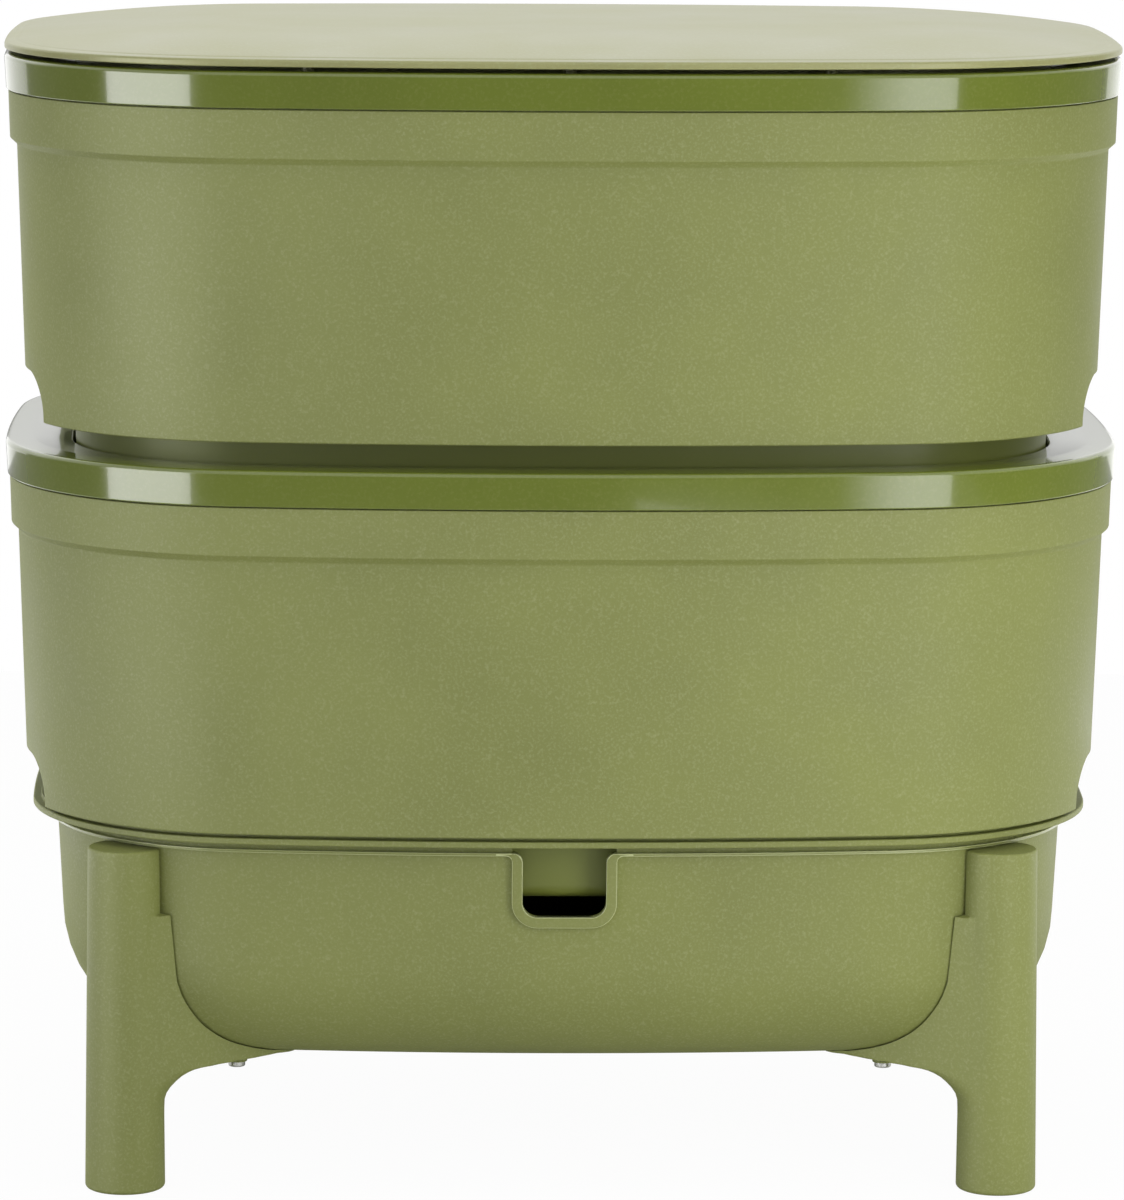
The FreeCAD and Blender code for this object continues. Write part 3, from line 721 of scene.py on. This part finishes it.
def shell_section(tray, base, top, lift, foot_width):
    """Section of the outer shell, its foot lifted by the notch, as softened points."""
    seam = top - tray.seam_gap
    flange_top = top + tray.rim_height - tray.collar_thickness - tray.flange_thickness
    flange_under = flange_top - tray.flange_thickness
    band = tray.rim_draft + tray.band_step_in
    tongue = tray.rim_draft + tray.rim_wall + tray.seam_gap
    band_foot = seam - tray.band_height
    step_foot = band_foot - tray.step_height
    low = band + tray.band_draft + tray.step_depth
    foot = low + tray.shell_draft * (step_foot - base - lift) / (step_foot - base)
    bottom = base + lift
    return soften([
        (band, seam, 0.5),
        (band + tray.band_draft, band_foot, 0.9),
        (low, step_foot, 1.6),
        (foot, bottom, tray.foot_edge),
        (foot + foot_width, bottom, 0.3),
        (foot + foot_width, bottom + tray.foot_thickness, 0),
        (foot + tray.shell_wall, bottom + tray.foot_thickness, 0),
        (low + tray.shell_wall, step_foot, 1.0),
        (tongue + tray.shell_wall, band_foot, 1.0),
        (tongue + tray.shell_wall, flange_under, 0),
        (tray.flange_edge, flange_under, 0),
        (tray.flange_edge, flange_top, 0),
        (tongue, flange_top, 0),
        (tongue, seam, 0),
    ])


class WORMERY_OT_shells(bpy.types.Operator):
    """Make the outer shell of each tray, with a finger notch low in each end"""
    bl_idname = "wormery.shells"
    bl_label = "Outer shells"

    def execute(self, context):
        oval, tray = sizes(context, "oval", "tray")
        half = tray.notch_width / 2
        # stations crowd at the arch, and stand close together on both sides of its upright
        turn = np.radians(np.linspace(0.0, 90.0, 19))
        shoulder = half - tray.notch_round + tray.notch_round * np.sin(turn)
        shoulder[-1] -= NOTCH_SIDE
        outside = [half + NOTCH_SIDE, half + 1.0, half + 3.0]
        foot = (tray.rim_draft + tray.band_step_in + tray.band_draft + tray.step_depth
                + tray.shell_draft)
        # the crossings are measured on the wall, but stations() wants them on the outermost oval
        corner = oval_arcs(oval)[1]
        wall = corner[2] - foot
        measured = np.concatenate([shoulder, outside])
        crossings = corner[1] + (measured - corner[1]) * corner[2] / wall
        places = stations(oval, crossings)
        y = places[:, 1] + (places[:, 2] - foot) * np.sin(places[:, 3])
        lift = notch_lift(tray, y)[:, None, None]
        # in the notch the foot's flange is no wider than the wall
        narrow = (np.abs(y) < half)[:, None, None].astype(float)
        for level, base, top in (("lower", SHELL_FOOT, RIM_LOW[2]),
                                 ("upper", UPPER_SHELL_FOOT, UPPER_RIM_LOW[2])):
            plain = shell_section(tray, base, top, 0.0, tray.foot_width)
            lifted = shell_section(tray, base, top, tray.notch_height, tray.foot_width)
            slim = shell_section(tray, base, top, 0.0, tray.shell_wall + 0.05)
            section = (plain + lift / tray.notch_height * (lifted - plain)
                       + narrow * (slim - plain))
            mesh = mesh_of(level + "_shell", [hoop(places, section)])
            finish_piece(mesh, finishes(context)[MATT], level + "_tray",
                         level + "_outer_shell")
        return {"FINISHED"}


class WORMERY_OT_inner_trays(bpy.types.Operator):
    """Give each perforated inner tray its joined surface and finish"""
    bl_idname = "wormery.inner_trays"
    bl_label = "Inner trays"

    def execute(self, context):
        for level in ("lower", "upper"):
            node = level + "_inner_tray"
            finish_piece(joined_copy(node, level + "_basket"), finishes(context)[INNER],
                         level + "_tray", node)
        return {"FINISHED"}


def end_share(angle):
    """How far a station faces an end: |cos angle|^3, from 0 at the sides to 1 at the ends."""
    return np.abs(np.cos(angle)) ** 3


def inset_at(oval, x, y):
    """How far inside the outermost oval points of the plan lie, and how far they face an end.

    The point's angle from the side's centre and from the end's centre tells which arc it
    belongs to; the inset is that arc's radius less the distance from its centre.
    """
    end, corner, side = oval_arcs(oval)[:3]
    x, y = np.abs(x), np.abs(y)
    by_end = np.arctan2(y, x - end[0])
    by_corner = np.arctan2(y - corner[1], x - corner[0])
    by_side = np.arctan2(y - side[1], x)
    on_side, on_end = by_side >= side[3], by_end <= end[4]
    inset = np.where(on_side, side[2] - np.hypot(x, y - side[1]),
                     np.where(on_end, end[2] - np.hypot(x - end[0], y),
                              corner[2] - np.hypot(x - corner[0], y - corner[1])))
    angle = np.where(on_side, by_side, np.where(on_end, by_end, by_corner))
    return inset, end_share(angle)


def bowl_wall(bowl, share):
    """Inset of the wall, rounding and foot of the wall where the bowl faces an end by a share."""
    wall = bowl.wall_inset + (bowl.end_wall_inset - bowl.wall_inset) * share
    corner = bowl.corner + (bowl.end_corner - bowl.corner) * share
    return wall, corner, bowl.underside + corner


def bowl_inset(bowl, height, share):
    """Inset of the bowl's outer face at each height.

    Above the rounding it grows evenly with the draft; below, it is the rounding's circle:
    low inset + corner - sqrt(corner^2 - depth^2). Under the bowl it is out of reach.
    """
    wall, corner, foot = bowl_wall(bowl, share)
    bead_foot = BOWL_TOP - bowl.bead_drop
    taper = np.clip((bead_foot - height) / (bead_foot - foot), 0.0, 1.0)
    depth = np.clip(foot - height, 0.0, corner)
    curve = corner - np.sqrt(corner ** 2 - depth ** 2)
    return np.where(height < bowl.underside, OUT_OF_REACH, wall + bowl.draft * taper + curve)


def bowl_height(bowl, inset, share):
    """Height of the bowl's rounded underside at each inset; out of reach outside the wall."""
    wall, corner, foot = bowl_wall(bowl, share)
    run = np.clip(wall + bowl.draft + corner - inset, 0.0, corner)
    floor = foot - np.sqrt(corner ** 2 - run ** 2)
    return np.where(inset < wall + bowl.draft, OUT_OF_REACH, floor)


def window_frame(oval, bowl):
    """Raised frame round the window, as points and faces.

    An inner and an outer edge run down one side of the window, under it and up the other
    side, and turn outwards into the bead, where they come closer together. A section
    (share of the width, stand-out) lies between each pair of edge points, and stands
    outwards from the wall, whose depth at (x, z) is sqrt((side radius - inset(z))^2 - x^2)
    less the distance of the side's centre.
    """
    rim = BOWL_TOP
    half = bowl.window_width / 2
    sill = rim - bowl.window_drop
    low = rim - bowl.bead_drop
    high = low + bowl.bead_height
    wide = bowl.frame_width
    outer_flare = 3.0
    within = 0.05    # the frame's ends stay inside the bead by this
    lap = 0.1        # the frame stands proud of the bead, and short of the bowl's inner face
    end = half + wide + bowl.frame_flare + outer_flare

    def edge(out, bottom, top, turn, corner):
        """Edge line round the window, at a distance out from its middle."""
        return soften([(-end, top, 0), (-out, top, turn), (-out, bottom, corner),
                       (out, bottom, corner), (out, top, turn), (end, top, 0)],
                      closed=False, steps=12)

    inner = edge(half, sill, high - within, bowl.frame_flare, bowl.window_round)
    outer = edge(half + wide, sill - wide, low + within, outer_flare, bowl.window_round + wide)
    width = np.linalg.norm(outer - inner, axis=1)[:, None]
    out = bowl.bead_stand_out + lap
    back = -bowl.wall + lap
    section = soften([(0.0, back, 0), (0.0, out, 0.2), (0.3, out, 0), (0.7, out, 0),
                      (1.0, out, 0.2), (1.0, -1.0, 0), (0.4, -1.0, 0), (0.4, back, 0)], steps=4)
    share, stand = section.T
    # the section's roundings keep their size in millimetres while the width changes
    near = share * bowl.frame_width
    far = (1.0 - share) * bowl.frame_width
    across = np.where(share < 0.5, np.minimum(near, width / 2), width - np.minimum(far, width / 2))
    direction = (outer - inner) / width
    x = inner[:, :1] + direction[:, :1] * across
    z = inner[:, 1:] + direction[:, 1:] * across
    run = oval.side_radius - bowl_inset(bowl, z, 0.0)
    depth = oval.half_depth - oval.side_radius + np.sqrt(run ** 2 - x ** 2)
    grid = np.stack([x, -(depth + stand), z], axis=-1)
    rows, columns = grid.shape[:2]
    # the frame doesn't close on itself: a flat end stands at its first and last section
    faces = [face for face in grid_faces(rows, columns, True)
             if max(face) - min(face) <= 2 * columns]
    faces.append(list(range(columns)))
    faces.append(list(range((rows - 1) * columns, rows * columns)))
    return grid.reshape(-1, 3), faces


def leg_place(leg, oval, along=0.0):
    """Axis of the leg in the first quarter, or a point at a distance along its web."""
    return (oval.half_length - leg.inset_x - along * math.cos(WEB_TURN),
            oval.half_depth - leg.inset_y - along * math.sin(WEB_TURN))


SHORT = 0.01    # millimetres by which a point stays short of its neighbour


def basin_section(bowl, share):
    """Section of the bowl where it faces an end by a share, from the middle of its
    underside out and up to the rim, and back inside, as softened points."""
    wall, corner, foot = bowl_wall(bowl, share)
    rim, under = BOWL_TOP, bowl.underside
    lip = rim - bowl.flange_height
    top = lip - bowl.flange_slope
    low = wall + bowl.draft
    plate = low + corner
    inner = wall + bowl.wall
    return soften([
        (plate, under, 0),
        (low, under, corner - SHORT),
        (low, foot, 0),
        (wall, rim - bowl.bead_drop, 0),
        (wall, top, 1.0),
        (bowl.flange_inset, lip, 0.7),
        (bowl.flange_inset, rim - bowl.seat_step, 0.7),
        (bowl.seat_inset, rim - bowl.seat_step, 0.3),
        (bowl.seat_inset, rim, 0.3),
        (inner, rim, 0.8),
        (inner, top, 0),
        (low + bowl.wall, foot, 0),
        (low + bowl.wall, under + bowl.wall, corner - bowl.wall - SHORT),
        (plate, under + bowl.wall, 0),
    ], closed=False, steps=10)


class WORMERY_OT_bowl(bpy.types.Operator):
    """Make the collection bowl with its framed window and screw bosses"""
    bl_idname = "wormery.bowl"
    bl_label = "Collection bowl"

    def execute(self, context):
        oval, bowl, leg = sizes(context, "oval", "bowl", "legs")
        rim, under = BOWL_TOP, bowl.underside
        bead = rim - bowl.bead_drop
        top = rim - bowl.flange_height - bowl.flange_slope
        places = stations(oval)
        level = bead + bowl.bead_height
        share = end_share(places[:, 3])[:, None, None]
        front, end = basin_section(bowl, 0.0), basin_section(bowl, 1.0)
        basin = dish(places, front + share * (end - front))
        stand = bowl.wall_inset - bowl.bead_stand_out
        rooted = bowl.wall_inset + 1.0    # the bead starts inside the wall
        ridge = soften([(stand, bead, 0.35), (stand, level, 0.35), (rooted, level, 0),
                        (rooted, bead, 0)])
        ridge = hoop(places, ridge + share * (bowl.end_wall_inset - bowl.wall_inset, 0.0))
        # the window is cut by a block whose outline is the frame's inner edge
        half = bowl.window_width / 2
        sill = rim - bowl.window_drop
        side = half + bowl.frame_flare + 0.3
        mouth = soften([(-half, sill, bowl.window_round), (half, sill, bowl.window_round),
                        (half, level, bowl.frame_flare), (side, level, 0), (side, top, 0),
                        (-side, top, 0), (-side, level, 0), (-half, level, bowl.frame_flare)],
                       steps=8)
        near = np.insert(mouth, 1, -oval.half_depth - 5.0, axis=1)    # clear of the front
        far = np.insert(mouth, 1, -oval.half_depth / 2, axis=1)
        count = len(mouth)
        ring = np.arange(count)
        on = (ring + 1) % count
        walls = np.stack([ring, on, on + count, ring + count], axis=1).tolist()
        cutter = (np.vstack([near, far]), walls + [ring.tolist(), (ring + count).tolist()])
        finish_piece(cut(mesh_of("bowl_basin", [basin]), [cutter]), finishes(context)[MATT],
                     "base", "collection_bowl")
        beading = cut(mesh_of("bowl_bead", [ridge]), [cutter])
        trim = mesh_of("window_frame", [window_frame(oval, bowl)])
        # the bead and the frame get a painted highlight along their edges
        for mesh in (beading, trim):
            paint_edge_highlight(mesh)
            finish_piece(mesh, finishes(context)[SMOOTH], "base")

        bosses = []
        boss_x, boss_y = leg_place(leg, oval, leg.screw_reach)
        for side_x, side_y in ((-1, -1), (1, -1), (1, 1), (-1, 1)):
            points, faces = post(side_x * boss_x, side_y * boss_y, under, under + bowl.boss_height,
                                 bowl.boss_radius)
            floor = bowl_height(bowl, *inset_at(oval, points[:, 0], points[:, 1]))
            points[:, 2] = np.maximum(points[:, 2], floor + bowl.wall / 2)
            bosses.append((points, faces))
        finish_piece(mesh_of("bowl_bosses", bosses), finishes(context)[MATT], "base")
        return {"FINISHED"}


LONGEST_RAY = 120.0              # from a post's axis, well into the bowl
HALVINGS = 26                    # of that ray, down to two millionths of a millimetre
ROUND, SQUARE = 2.0, 14.0        # powers of the web's plan outline
SQUARING_RUN = 16.0              # reach over which the outline goes from one to the other
WEB_WIDE_TO = 85.0               # height from which the web's sides draw in
THROAT_START = 34.0              # height at which the post starts to swell into the web
# Underside of the web from the post outwards: reach, height, and the share of the web's
# floor that is left between it and the bowl; then height and share at the web's end
THROAT = ((18.5, 38.0, 1.0), (18.7, 42.0, 1.0), (19.2, 45.5, 1.0), (20.2, 48.6, 1.0),
          (21.8, 51.3, 1.0), (24.0, 53.6, 1.0), (27.0, 55.3, 1.0), (30.0, 56.3, 1.0),
          (34.0, 56.9, 1.0), (40.0, 57.2, 1.0), (52.0, 57.8, 1.0), (64.0, 58.4, 1.0),
          (72.0, 58.9, 0.9), (77.0, 59.4, 0.75), (80.5, 60.0, 0.5))
THROAT_END = (60.4, 0.2)
TIP_LOW, TIP_HIGH = 59.0, 61.0   # heights between which the web's end turns up
LEDGE = 0.8                      # height of the ledge at the web's top
HOLLOW_WALL = 2.5                # least wall between the hollow and the bowl's side
SEAT_DEPTH = 5.0                 # how far a screw's seat reaches up into the web


def leg_reach(oval, bowl, x, y, angle, height, gap):
    """Distance from the post's axis to the bowl, along each angle and at each height.

    The inset along a ray grows until it meets the bowl's inset less the gap; the distance
    is found by halving the ray, and stays at its far end where the ray misses.
    """
    near = np.zeros(np.broadcast_shapes(angle.shape, height.shape))
    far = near + LONGEST_RAY
    for _ in range(HALVINGS):
        middle = (near + far) / 2
        inset, share = inset_at(oval, x + middle * np.cos(angle), y + middle * np.sin(angle))
        inside = inset > bowl_inset(bowl, height, share) - gap
        far = np.where(inside, middle, far)
        near = np.where(inside, near, middle)
    return near


def leg_surface(oval, bowl, leg):
    """Leg of the first quarter as points and faces: a radius for each angle and ring.

    The plan outline at one height is the larger of the post's circle and a strip along
    the web, (|sin d| / half width)^n + (cos d / reach)^n = radius^-n with d measured from
    the web; n climbs from 2, a circle, to 14, a strip with rounded corners. Rings run up
    the post, out along the web's underside while the strip's reach grows, up the web's
    sides to the bowl, back along the bowl and up to the top; the bowl, less the gap, cuts
    every radius short.
    """
    x, y = leg_place(leg, oval)
    top = BOWL_TOP - leg.top_drop
    # half of the angles, from the web's middle line: even steps along the web's side and
    # across its end, then every 3 degrees round the post
    along = np.arange(0.0, leg.web_reach, 2.0)
    across = leg.top_radius * np.linspace(1.0, 0.0, 11)
    web_turn = np.concatenate([np.arctan2(leg.top_radius, along),
                               np.arctan2(across, leg.web_reach)])
    outer_turn = np.radians(np.arange(93.0, 180.0, 3.0))
    half_turn = np.unique(np.round(np.concatenate([web_turn, outer_turn]), 5))
    turn = np.concatenate([half_turn, [math.pi], -half_turn[:0:-1]])[:, None]
    angle = turn + WEB_TURN - math.pi

    def radius_at(height):
        """Radius of the tapered post."""
        return leg.foot_radius + (leg.top_radius - leg.foot_radius) * height / top

    def outline(extent, height):
        """Radius of the plan outline, for a reach of the web at a height."""
        wide = radius_at(height)
        drawn_in = np.clip((height - WEB_WIDE_TO) / (leg.web_top - WEB_WIDE_TO), 0.0, 1.0)
        slim = wide - leg.web_taper * drawn_in
        squared = np.clip((extent - leg.foot_radius) / SQUARING_RUN, 0.0, 1.0)
        power = ROUND + (SQUARE - ROUND) * squared
        strip = ((np.abs(np.sin(turn)) / slim) ** power
                 + (np.maximum(np.cos(turn), 0.0) / extent) ** power) ** (-1.0 / power)
        return np.where(np.cos(turn) > 0.0, np.maximum(strip, wide), wide)

    def bowl_over(radius, gap):
        """Height of the bowl's rounding over each angle at a radius."""
        inset, share = inset_at(oval, x + radius * np.cos(angle), y + radius * np.sin(angle))
        return bowl_height(bowl, inset + gap, share)

    def to_bowl(height):
        """Distance from the post's axis to the bowl, less the gap."""
        return leg_reach(oval, bowl, x, y, angle, height, leg.fit_gap)

    core = soften([(0.0, leg.core_height, 0),
                   (leg.top_radius - leg.core_wall, leg.core_height, 2.0),
                   (leg.foot_radius - leg.core_wall, 0.0, 0.5),
                   (leg.foot_radius, 0.0, leg.foot_round),
                   (radius_at(THROAT_START), THROAT_START, 0)], closed=False)
    room = to_bowl(core[:, 1]) - HOLLOW_WALL
    low_radius = np.minimum(core[:, 0], np.maximum(room, 0.0))
    low_height = np.broadcast_to(core[:, 1], low_radius.shape)

    reach = leg.web_reach
    extent, level, floor = np.array(THROAT + ((reach,) + THROAT_END,)).T
    web_radius = outline(extent, level)
    web_height = np.minimum(level, bowl_over(web_radius, 0.0) - leg.web_floor * floor)

    tip_radius = outline(reach, TIP_LOW)
    tip_height = np.minimum(TIP_HIGH, bowl_over(tip_radius, 0.0) - 0.1)
    tip_height = np.maximum(tip_height, web_height[:, -1:])
    ledge = leg.web_top - LEDGE
    edge = np.clip(bowl_over(tip_radius, leg.fit_gap), tip_height, ledge)
    side = tip_height + (edge - tip_height) * np.array([0.25, 0.5, 0.75, 1.0])
    side_radius = np.minimum(outline(reach, side), to_bowl(side - SHORT))
    # the rings up the back stand closer together low down, where the bowl curves
    back = edge + (ledge - edge) * np.linspace(0.0, 1.0, 24)[1:] ** 1.7
    back_radius = np.minimum(outline(reach, back), to_bowl(back))

    crest = soften([(radius_at(leg.web_top), leg.web_top, 0), (leg.top_radius, top, leg.top_round),
                    (0.0, top, 0)], closed=False, steps=5)
    rings = np.vstack([np.linspace(crest[0], crest[1], 9)[:-1], crest[1:]])
    high_height = np.broadcast_to(rings[:, 1], (len(turn), len(rings)))
    high_radius = np.minimum(rings[:, 0], to_bowl(high_height))

    radius = np.hstack([low_radius, web_radius, tip_radius, side_radius, back_radius,
                        high_radius])
    height = np.hstack([low_height, web_height, tip_height, side, back, high_height])
    grid = np.stack([x + radius * np.cos(angle), y + radius * np.sin(angle), height], axis=-1)
    return grid.reshape(-1, 3), grid_faces(grid.shape[0], grid.shape[1], False)


class WORMERY_OT_legs(bpy.types.Operator):
    """Make the legs: round posts with a web that hugs the bowl"""
    bl_idname = "wormery.legs"
    bl_label = "Legs"

    def execute(self, context):
        oval, bowl, leg = sizes(context, "oval", "bowl", "legs")
        points, faces = leg_surface(oval, bowl, leg)
        seat_x, seat_y = leg_place(leg, oval, leg.screw_reach)
        seat, seat_faces = post(seat_x, seat_y, leg.seat_height, leg.seat_height + SEAT_DEPTH,
                                leg.seat_radius)
        for place, side_x, side_y in (("front_left", -1, -1), ("front_right", 1, -1),
                                      ("rear_left", -1, 1), ("rear_right", 1, 1)):
            sides = (side_x, side_y, 1)
            mesh = mesh_of(place + "_leg", [(points * sides, faces), (seat * sides, seat_faces)])
            finish_piece(mesh, finishes(context)[MATT], "base", "leg_" + place)
        return {"FINISHED"}


class WORMERY_OT_screws(bpy.types.Operator):
    """Give the screws of the trays and the legs, which stay CAD nodes, their steel"""
    bl_idname = "wormery.screws"
    bl_label = "Screws"

    def execute(self, context):
        for node in ("lower_tray_screws", "upper_tray_screws", "leg_screws"):
            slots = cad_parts[node].data.materials
            slots.clear()
            slots.append(finishes(context)[STEEL])
        return {"FINISHED"}


def aim(item, place, target):
    """Put a lamp or card at a place in metres, facing a target and unseen by the camera."""
    item.location = place
    item.rotation_euler = (Vector(target) - Vector(place)).to_track_quat("-Z", "Y").to_euler()
    item.visible_camera = False


def rectangle(name, width, height, material):
    """Flat rectangle about the origin, in metres."""
    x, y = width / 2, height / 2
    mesh = bpy.data.meshes.new(name)
    mesh.from_pydata([(-x, -y, 0), (x, -y, 0), (x, y, 0), (-x, y, 0)], [], [(0, 1, 2, 3)])
    mesh.materials.append(material)
    return mesh


def soft_box(name, power, width, height, place, target):
    """Rectangular soft box that lights the object but isn't mirrored in it."""
    lamp = bpy.data.lights.new(name, "AREA")
    lamp.shape = "RECTANGLE"
    lamp.size = width
    lamp.size_y = height
    lamp.energy = power
    box = placed(name, lamp)
    box.visible_glossy = False
    aim(box, place, target)


def card(name, strength, width, height, place, target, soft, lights):
    """Bright card, mirrored in the object, fading in over the soft part of its first edge."""
    material, tree = blank_material(name)
    place_on_card = add(tree, "ShaderNodeTexCoord").outputs["Object"]
    axes = add(tree, "ShaderNodeSeparateXYZ", inputs={"Vector": place_on_card})
    fade = add(tree, "ShaderNodeMapRange", {"interpolation_type": "SMOOTHSTEP"}, {
        "Value": axes.outputs["X"], "From Min": -width / 2, "From Max": -width / 2 + soft,
        "To Min": 0.0, "To Max": strength})
    glow = add(tree, "ShaderNodeEmission", inputs={"Strength": fade.outputs["Result"]})
    add(tree, "ShaderNodeOutputMaterial", inputs={"Surface": glow.outputs[0]})
    sheet = placed(name, rectangle(name, width, height, material))
    sheet.visible_diffuse = lights
    sheet.visible_transmission = False
    sheet.visible_shadow = False
    aim(sheet, place, target)


HARD = 0.001    # metres over which a hard-edged card fades in
# brightness and a share of it, width, height, place, target, soft edge, and whether the
# card lights the object as well as being mirrored in it; lengths in metres
CARDS = {
    "left card": ("left_card", 1.0, 0.75, 0.8, (-0.96, -0.737, 0.4), (-0.19, -0.165, 0.4),
                  HARD, False),
    "right card": ("right_card", 1.0, 0.28, 0.7, (0.375, -0.623, 0.35), (0.15, -0.178, 0.35),
                   0.07, True),
    "left back card": ("back_cards", 1.0, 0.73, 0.64, (-0.76, 0.77, 0.5),
                       (-0.257, -0.095, 0.5), HARD, False),
    "right back card": ("back_cards", 1.0, 0.62, 0.64, (0.71, 0.8, 0.5),
                        (0.257, -0.095, 0.5), HARD, False),
    "left low card": ("low_cards", 1.0, 0.9, 0.15, (-0.72, 0.2, 0.08), (0.0, 0.0, 0.08),
                      HARD, True),
    "right low card": ("low_cards", 1.0, 0.9, 0.15, (0.72, 0.2, 0.08), (0.0, 0.0, 0.08),
                       HARD, True),
    "front low card": ("low_cards", 0.85, 1.0, 0.1, (0.5, -0.75, 0.055), (0.0, -0.1, 0.1),
                       HARD, True),
}
MIRRORED_FRONT = 0.26            # what the gloss mirrors in front of the object
FLOOR_WIDTH = 2.6                # metres
FRAME_SIDE = 1200.0              # taller side of the photograph, in pixels
FRAME_MIDDLE = (562.0, 600.0)    # its middle
AIM = (528.0, 416.3)             # the pixel at which the camera points


class WORMERY_OT_stage(bpy.types.Operator):
    """Set up the floor, the studio light and the camera"""
    bl_idname = "wormery.stage"
    bl_label = "Stage"

    def execute(self, context):
        studio = context.scene.wormery_studio
        paint = context.scene.wormery_colours
        paper = studio_floor("seamless paper", paint.floor)
        placed("floor", rectangle("floor", FLOOR_WIDTH, FLOOR_WIDTH, paper))

        # the camera sees plain white and matt surfaces an even light, but gloss mirrors a
        # studio: dim in front, a backdrop that brightens upwards, and a bright ceiling
        world = bpy.data.worlds.new("studio")
        world.use_nodes = True
        tree = world.node_tree
        tree.nodes.clear()
        ray = add(tree, "ShaderNodeLightPath")
        direction = add(tree, "ShaderNodeTexCoord").outputs["Generated"]
        axes = add(tree, "ShaderNodeSeparateXYZ", inputs={"Vector": direction})
        behind = add(tree, "ShaderNodeMapRange", {"interpolation_type": "SMOOTHSTEP"}, {
            "Value": axes.outputs["Y"], "From Min": 0.1, "From Max": 0.6,
            "To Min": 0.0, "To Max": 1.0})
        backdrop = add(tree, "ShaderNodeMapRange", inputs={
            "Value": axes.outputs["Z"], "From Min": 0.0, "From Max": 0.3,
            "To Min": 0.3, "To Max": 1.75})
        above = add(tree, "ShaderNodeMapRange", {"interpolation_type": "SMOOTHSTEP"}, {
            "Value": axes.outputs["Z"], "From Min": 0.12, "From Max": 0.45,
            "To Min": 0.0, "To Max": 1.3})
        level = add(tree, "ShaderNodeMix", {"data_type": "FLOAT"}, {
            0: behind.outputs["Result"], 2: MIRRORED_FRONT, 3: backdrop.outputs["Result"]})
        brighter = add(tree, "ShaderNodeMath", {"operation": "MAXIMUM"}, {
            0: level.outputs[0], 1: above.outputs["Result"]})
        around = add(tree, "ShaderNodeBackground", inputs={
            "Color": (1, 1, 1, 1), "Strength": brighter.outputs[0]})
        soft = add(tree, "ShaderNodeBackground", inputs={
            "Color": (1.0, 1.0, 1.0, 1), "Strength": studio.ambient})
        seen = add(tree, "ShaderNodeBackground", inputs={"Color": (1, 1, 1, 1), "Strength": 1.0})
        shiny = add(tree, "ShaderNodeMixShader", inputs={
            0: ray.outputs["Is Glossy Ray"], 1: soft.outputs[0], 2: around.outputs[0]})
        both = add(tree, "ShaderNodeMixShader", inputs={
            0: ray.outputs["Is Camera Ray"], 1: shiny.outputs[0], 2: seen.outputs[0]})
        add(tree, "ShaderNodeOutputWorld", inputs={"Surface": both.outputs[0]})
        context.scene.world = world

        middle = (0.0, 0.0, 0.3)
        soft_box("top box", studio.top, 1.6, 1.4, (-0.2, -0.5, 2.3), middle)
        for name, (brightness, share, *rest) in CARDS.items():
            card(name, getattr(studio, brightness) * share, *rest)

        # lens, place and turns fit the photograph's perspective
        lens = bpy.data.cameras.new("camera")
        lens.sensor_width = 36.0
        lens.lens = 191.85
        lens.shift_x = (FRAME_MIDDLE[0] - AIM[0]) / FRAME_SIDE
        lens.shift_y = (AIM[1] - FRAME_MIDDLE[1]) / FRAME_SIDE
        lens.clip_end = 100.0
        camera = placed("camera", lens)
        turn = (Matrix.Rotation(math.radians(-1.182), 4, "Z")
                @ Matrix.Rotation(math.radians(90.0 - 7.378), 4, "X")
                @ Matrix.Rotation(math.radians(0.351), 4, "Z"))
        camera.matrix_world = Matrix.Translation((-0.0785, -3.0854, 0.7477)) @ turn
        context.scene.camera = camera
        context.scene.view_settings.view_transform = "Standard"
        return {"FINISHED"}


class WORMERY_PT_panel(bpy.types.Panel):
    """Sizes, colours and steps of the wormery"""
    bl_label = "Wormery"
    bl_idname = "WORMERY_PT_panel"
    bl_space_type = "VIEW_3D"
    bl_region_type = "UI"
    bl_category = "Wormery"

    def draw(self, context):
        layout = self.layout
        for key in GROUPS:
            group = getattr(context.scene, key)
            box = layout.box()
            for name in type(group).__annotations__:
                box.prop(group, name)
        for step in STEPS:
            layout.operator(step.bl_idname)


GROUPS = {
    "wormery_oval": WormeryOval,
    "wormery_tray": WormeryTray,
    "wormery_lid": WormeryLid,
    "wormery_bowl": WormeryBowl,
    "wormery_legs": WormeryLegs,
    "wormery_colours": WormeryColours,
    "wormery_studio": WormeryStudio,
}
STEPS = (WORMERY_OT_lid, WORMERY_OT_rims, WORMERY_OT_shells, WORMERY_OT_inner_trays,
         WORMERY_OT_bowl, WORMERY_OT_legs, WORMERY_OT_screws, WORMERY_OT_stage)


def register():
    """Add the properties, the operators and the panel."""
    for key, group in GROUPS.items():
        bpy.utils.register_class(group)
        setattr(bpy.types.Scene, key, PointerProperty(type=group))
    for step in STEPS + (WORMERY_PT_panel,):
        bpy.utils.register_class(step)


def unregister():
    """Take away the panel, the operators and the properties."""
    for step in (WORMERY_PT_panel,) + STEPS[::-1]:
        bpy.utils.unregister_class(step)
    for key, group in GROUPS.items():
        delattr(bpy.types.Scene, key)
        bpy.utils.unregister_class(group)


def main():
    """Dress the frame and set the stage."""
    register()
    bpy.ops.wormery.lid()
    bpy.ops.wormery.rims()
    bpy.ops.wormery.shells()
    bpy.ops.wormery.inner_trays()
    bpy.ops.wormery.bowl()
    bpy.ops.wormery.legs()
    bpy.ops.wormery.screws()
    bpy.ops.wormery.stage()


if __name__ == "__main__":
    main()
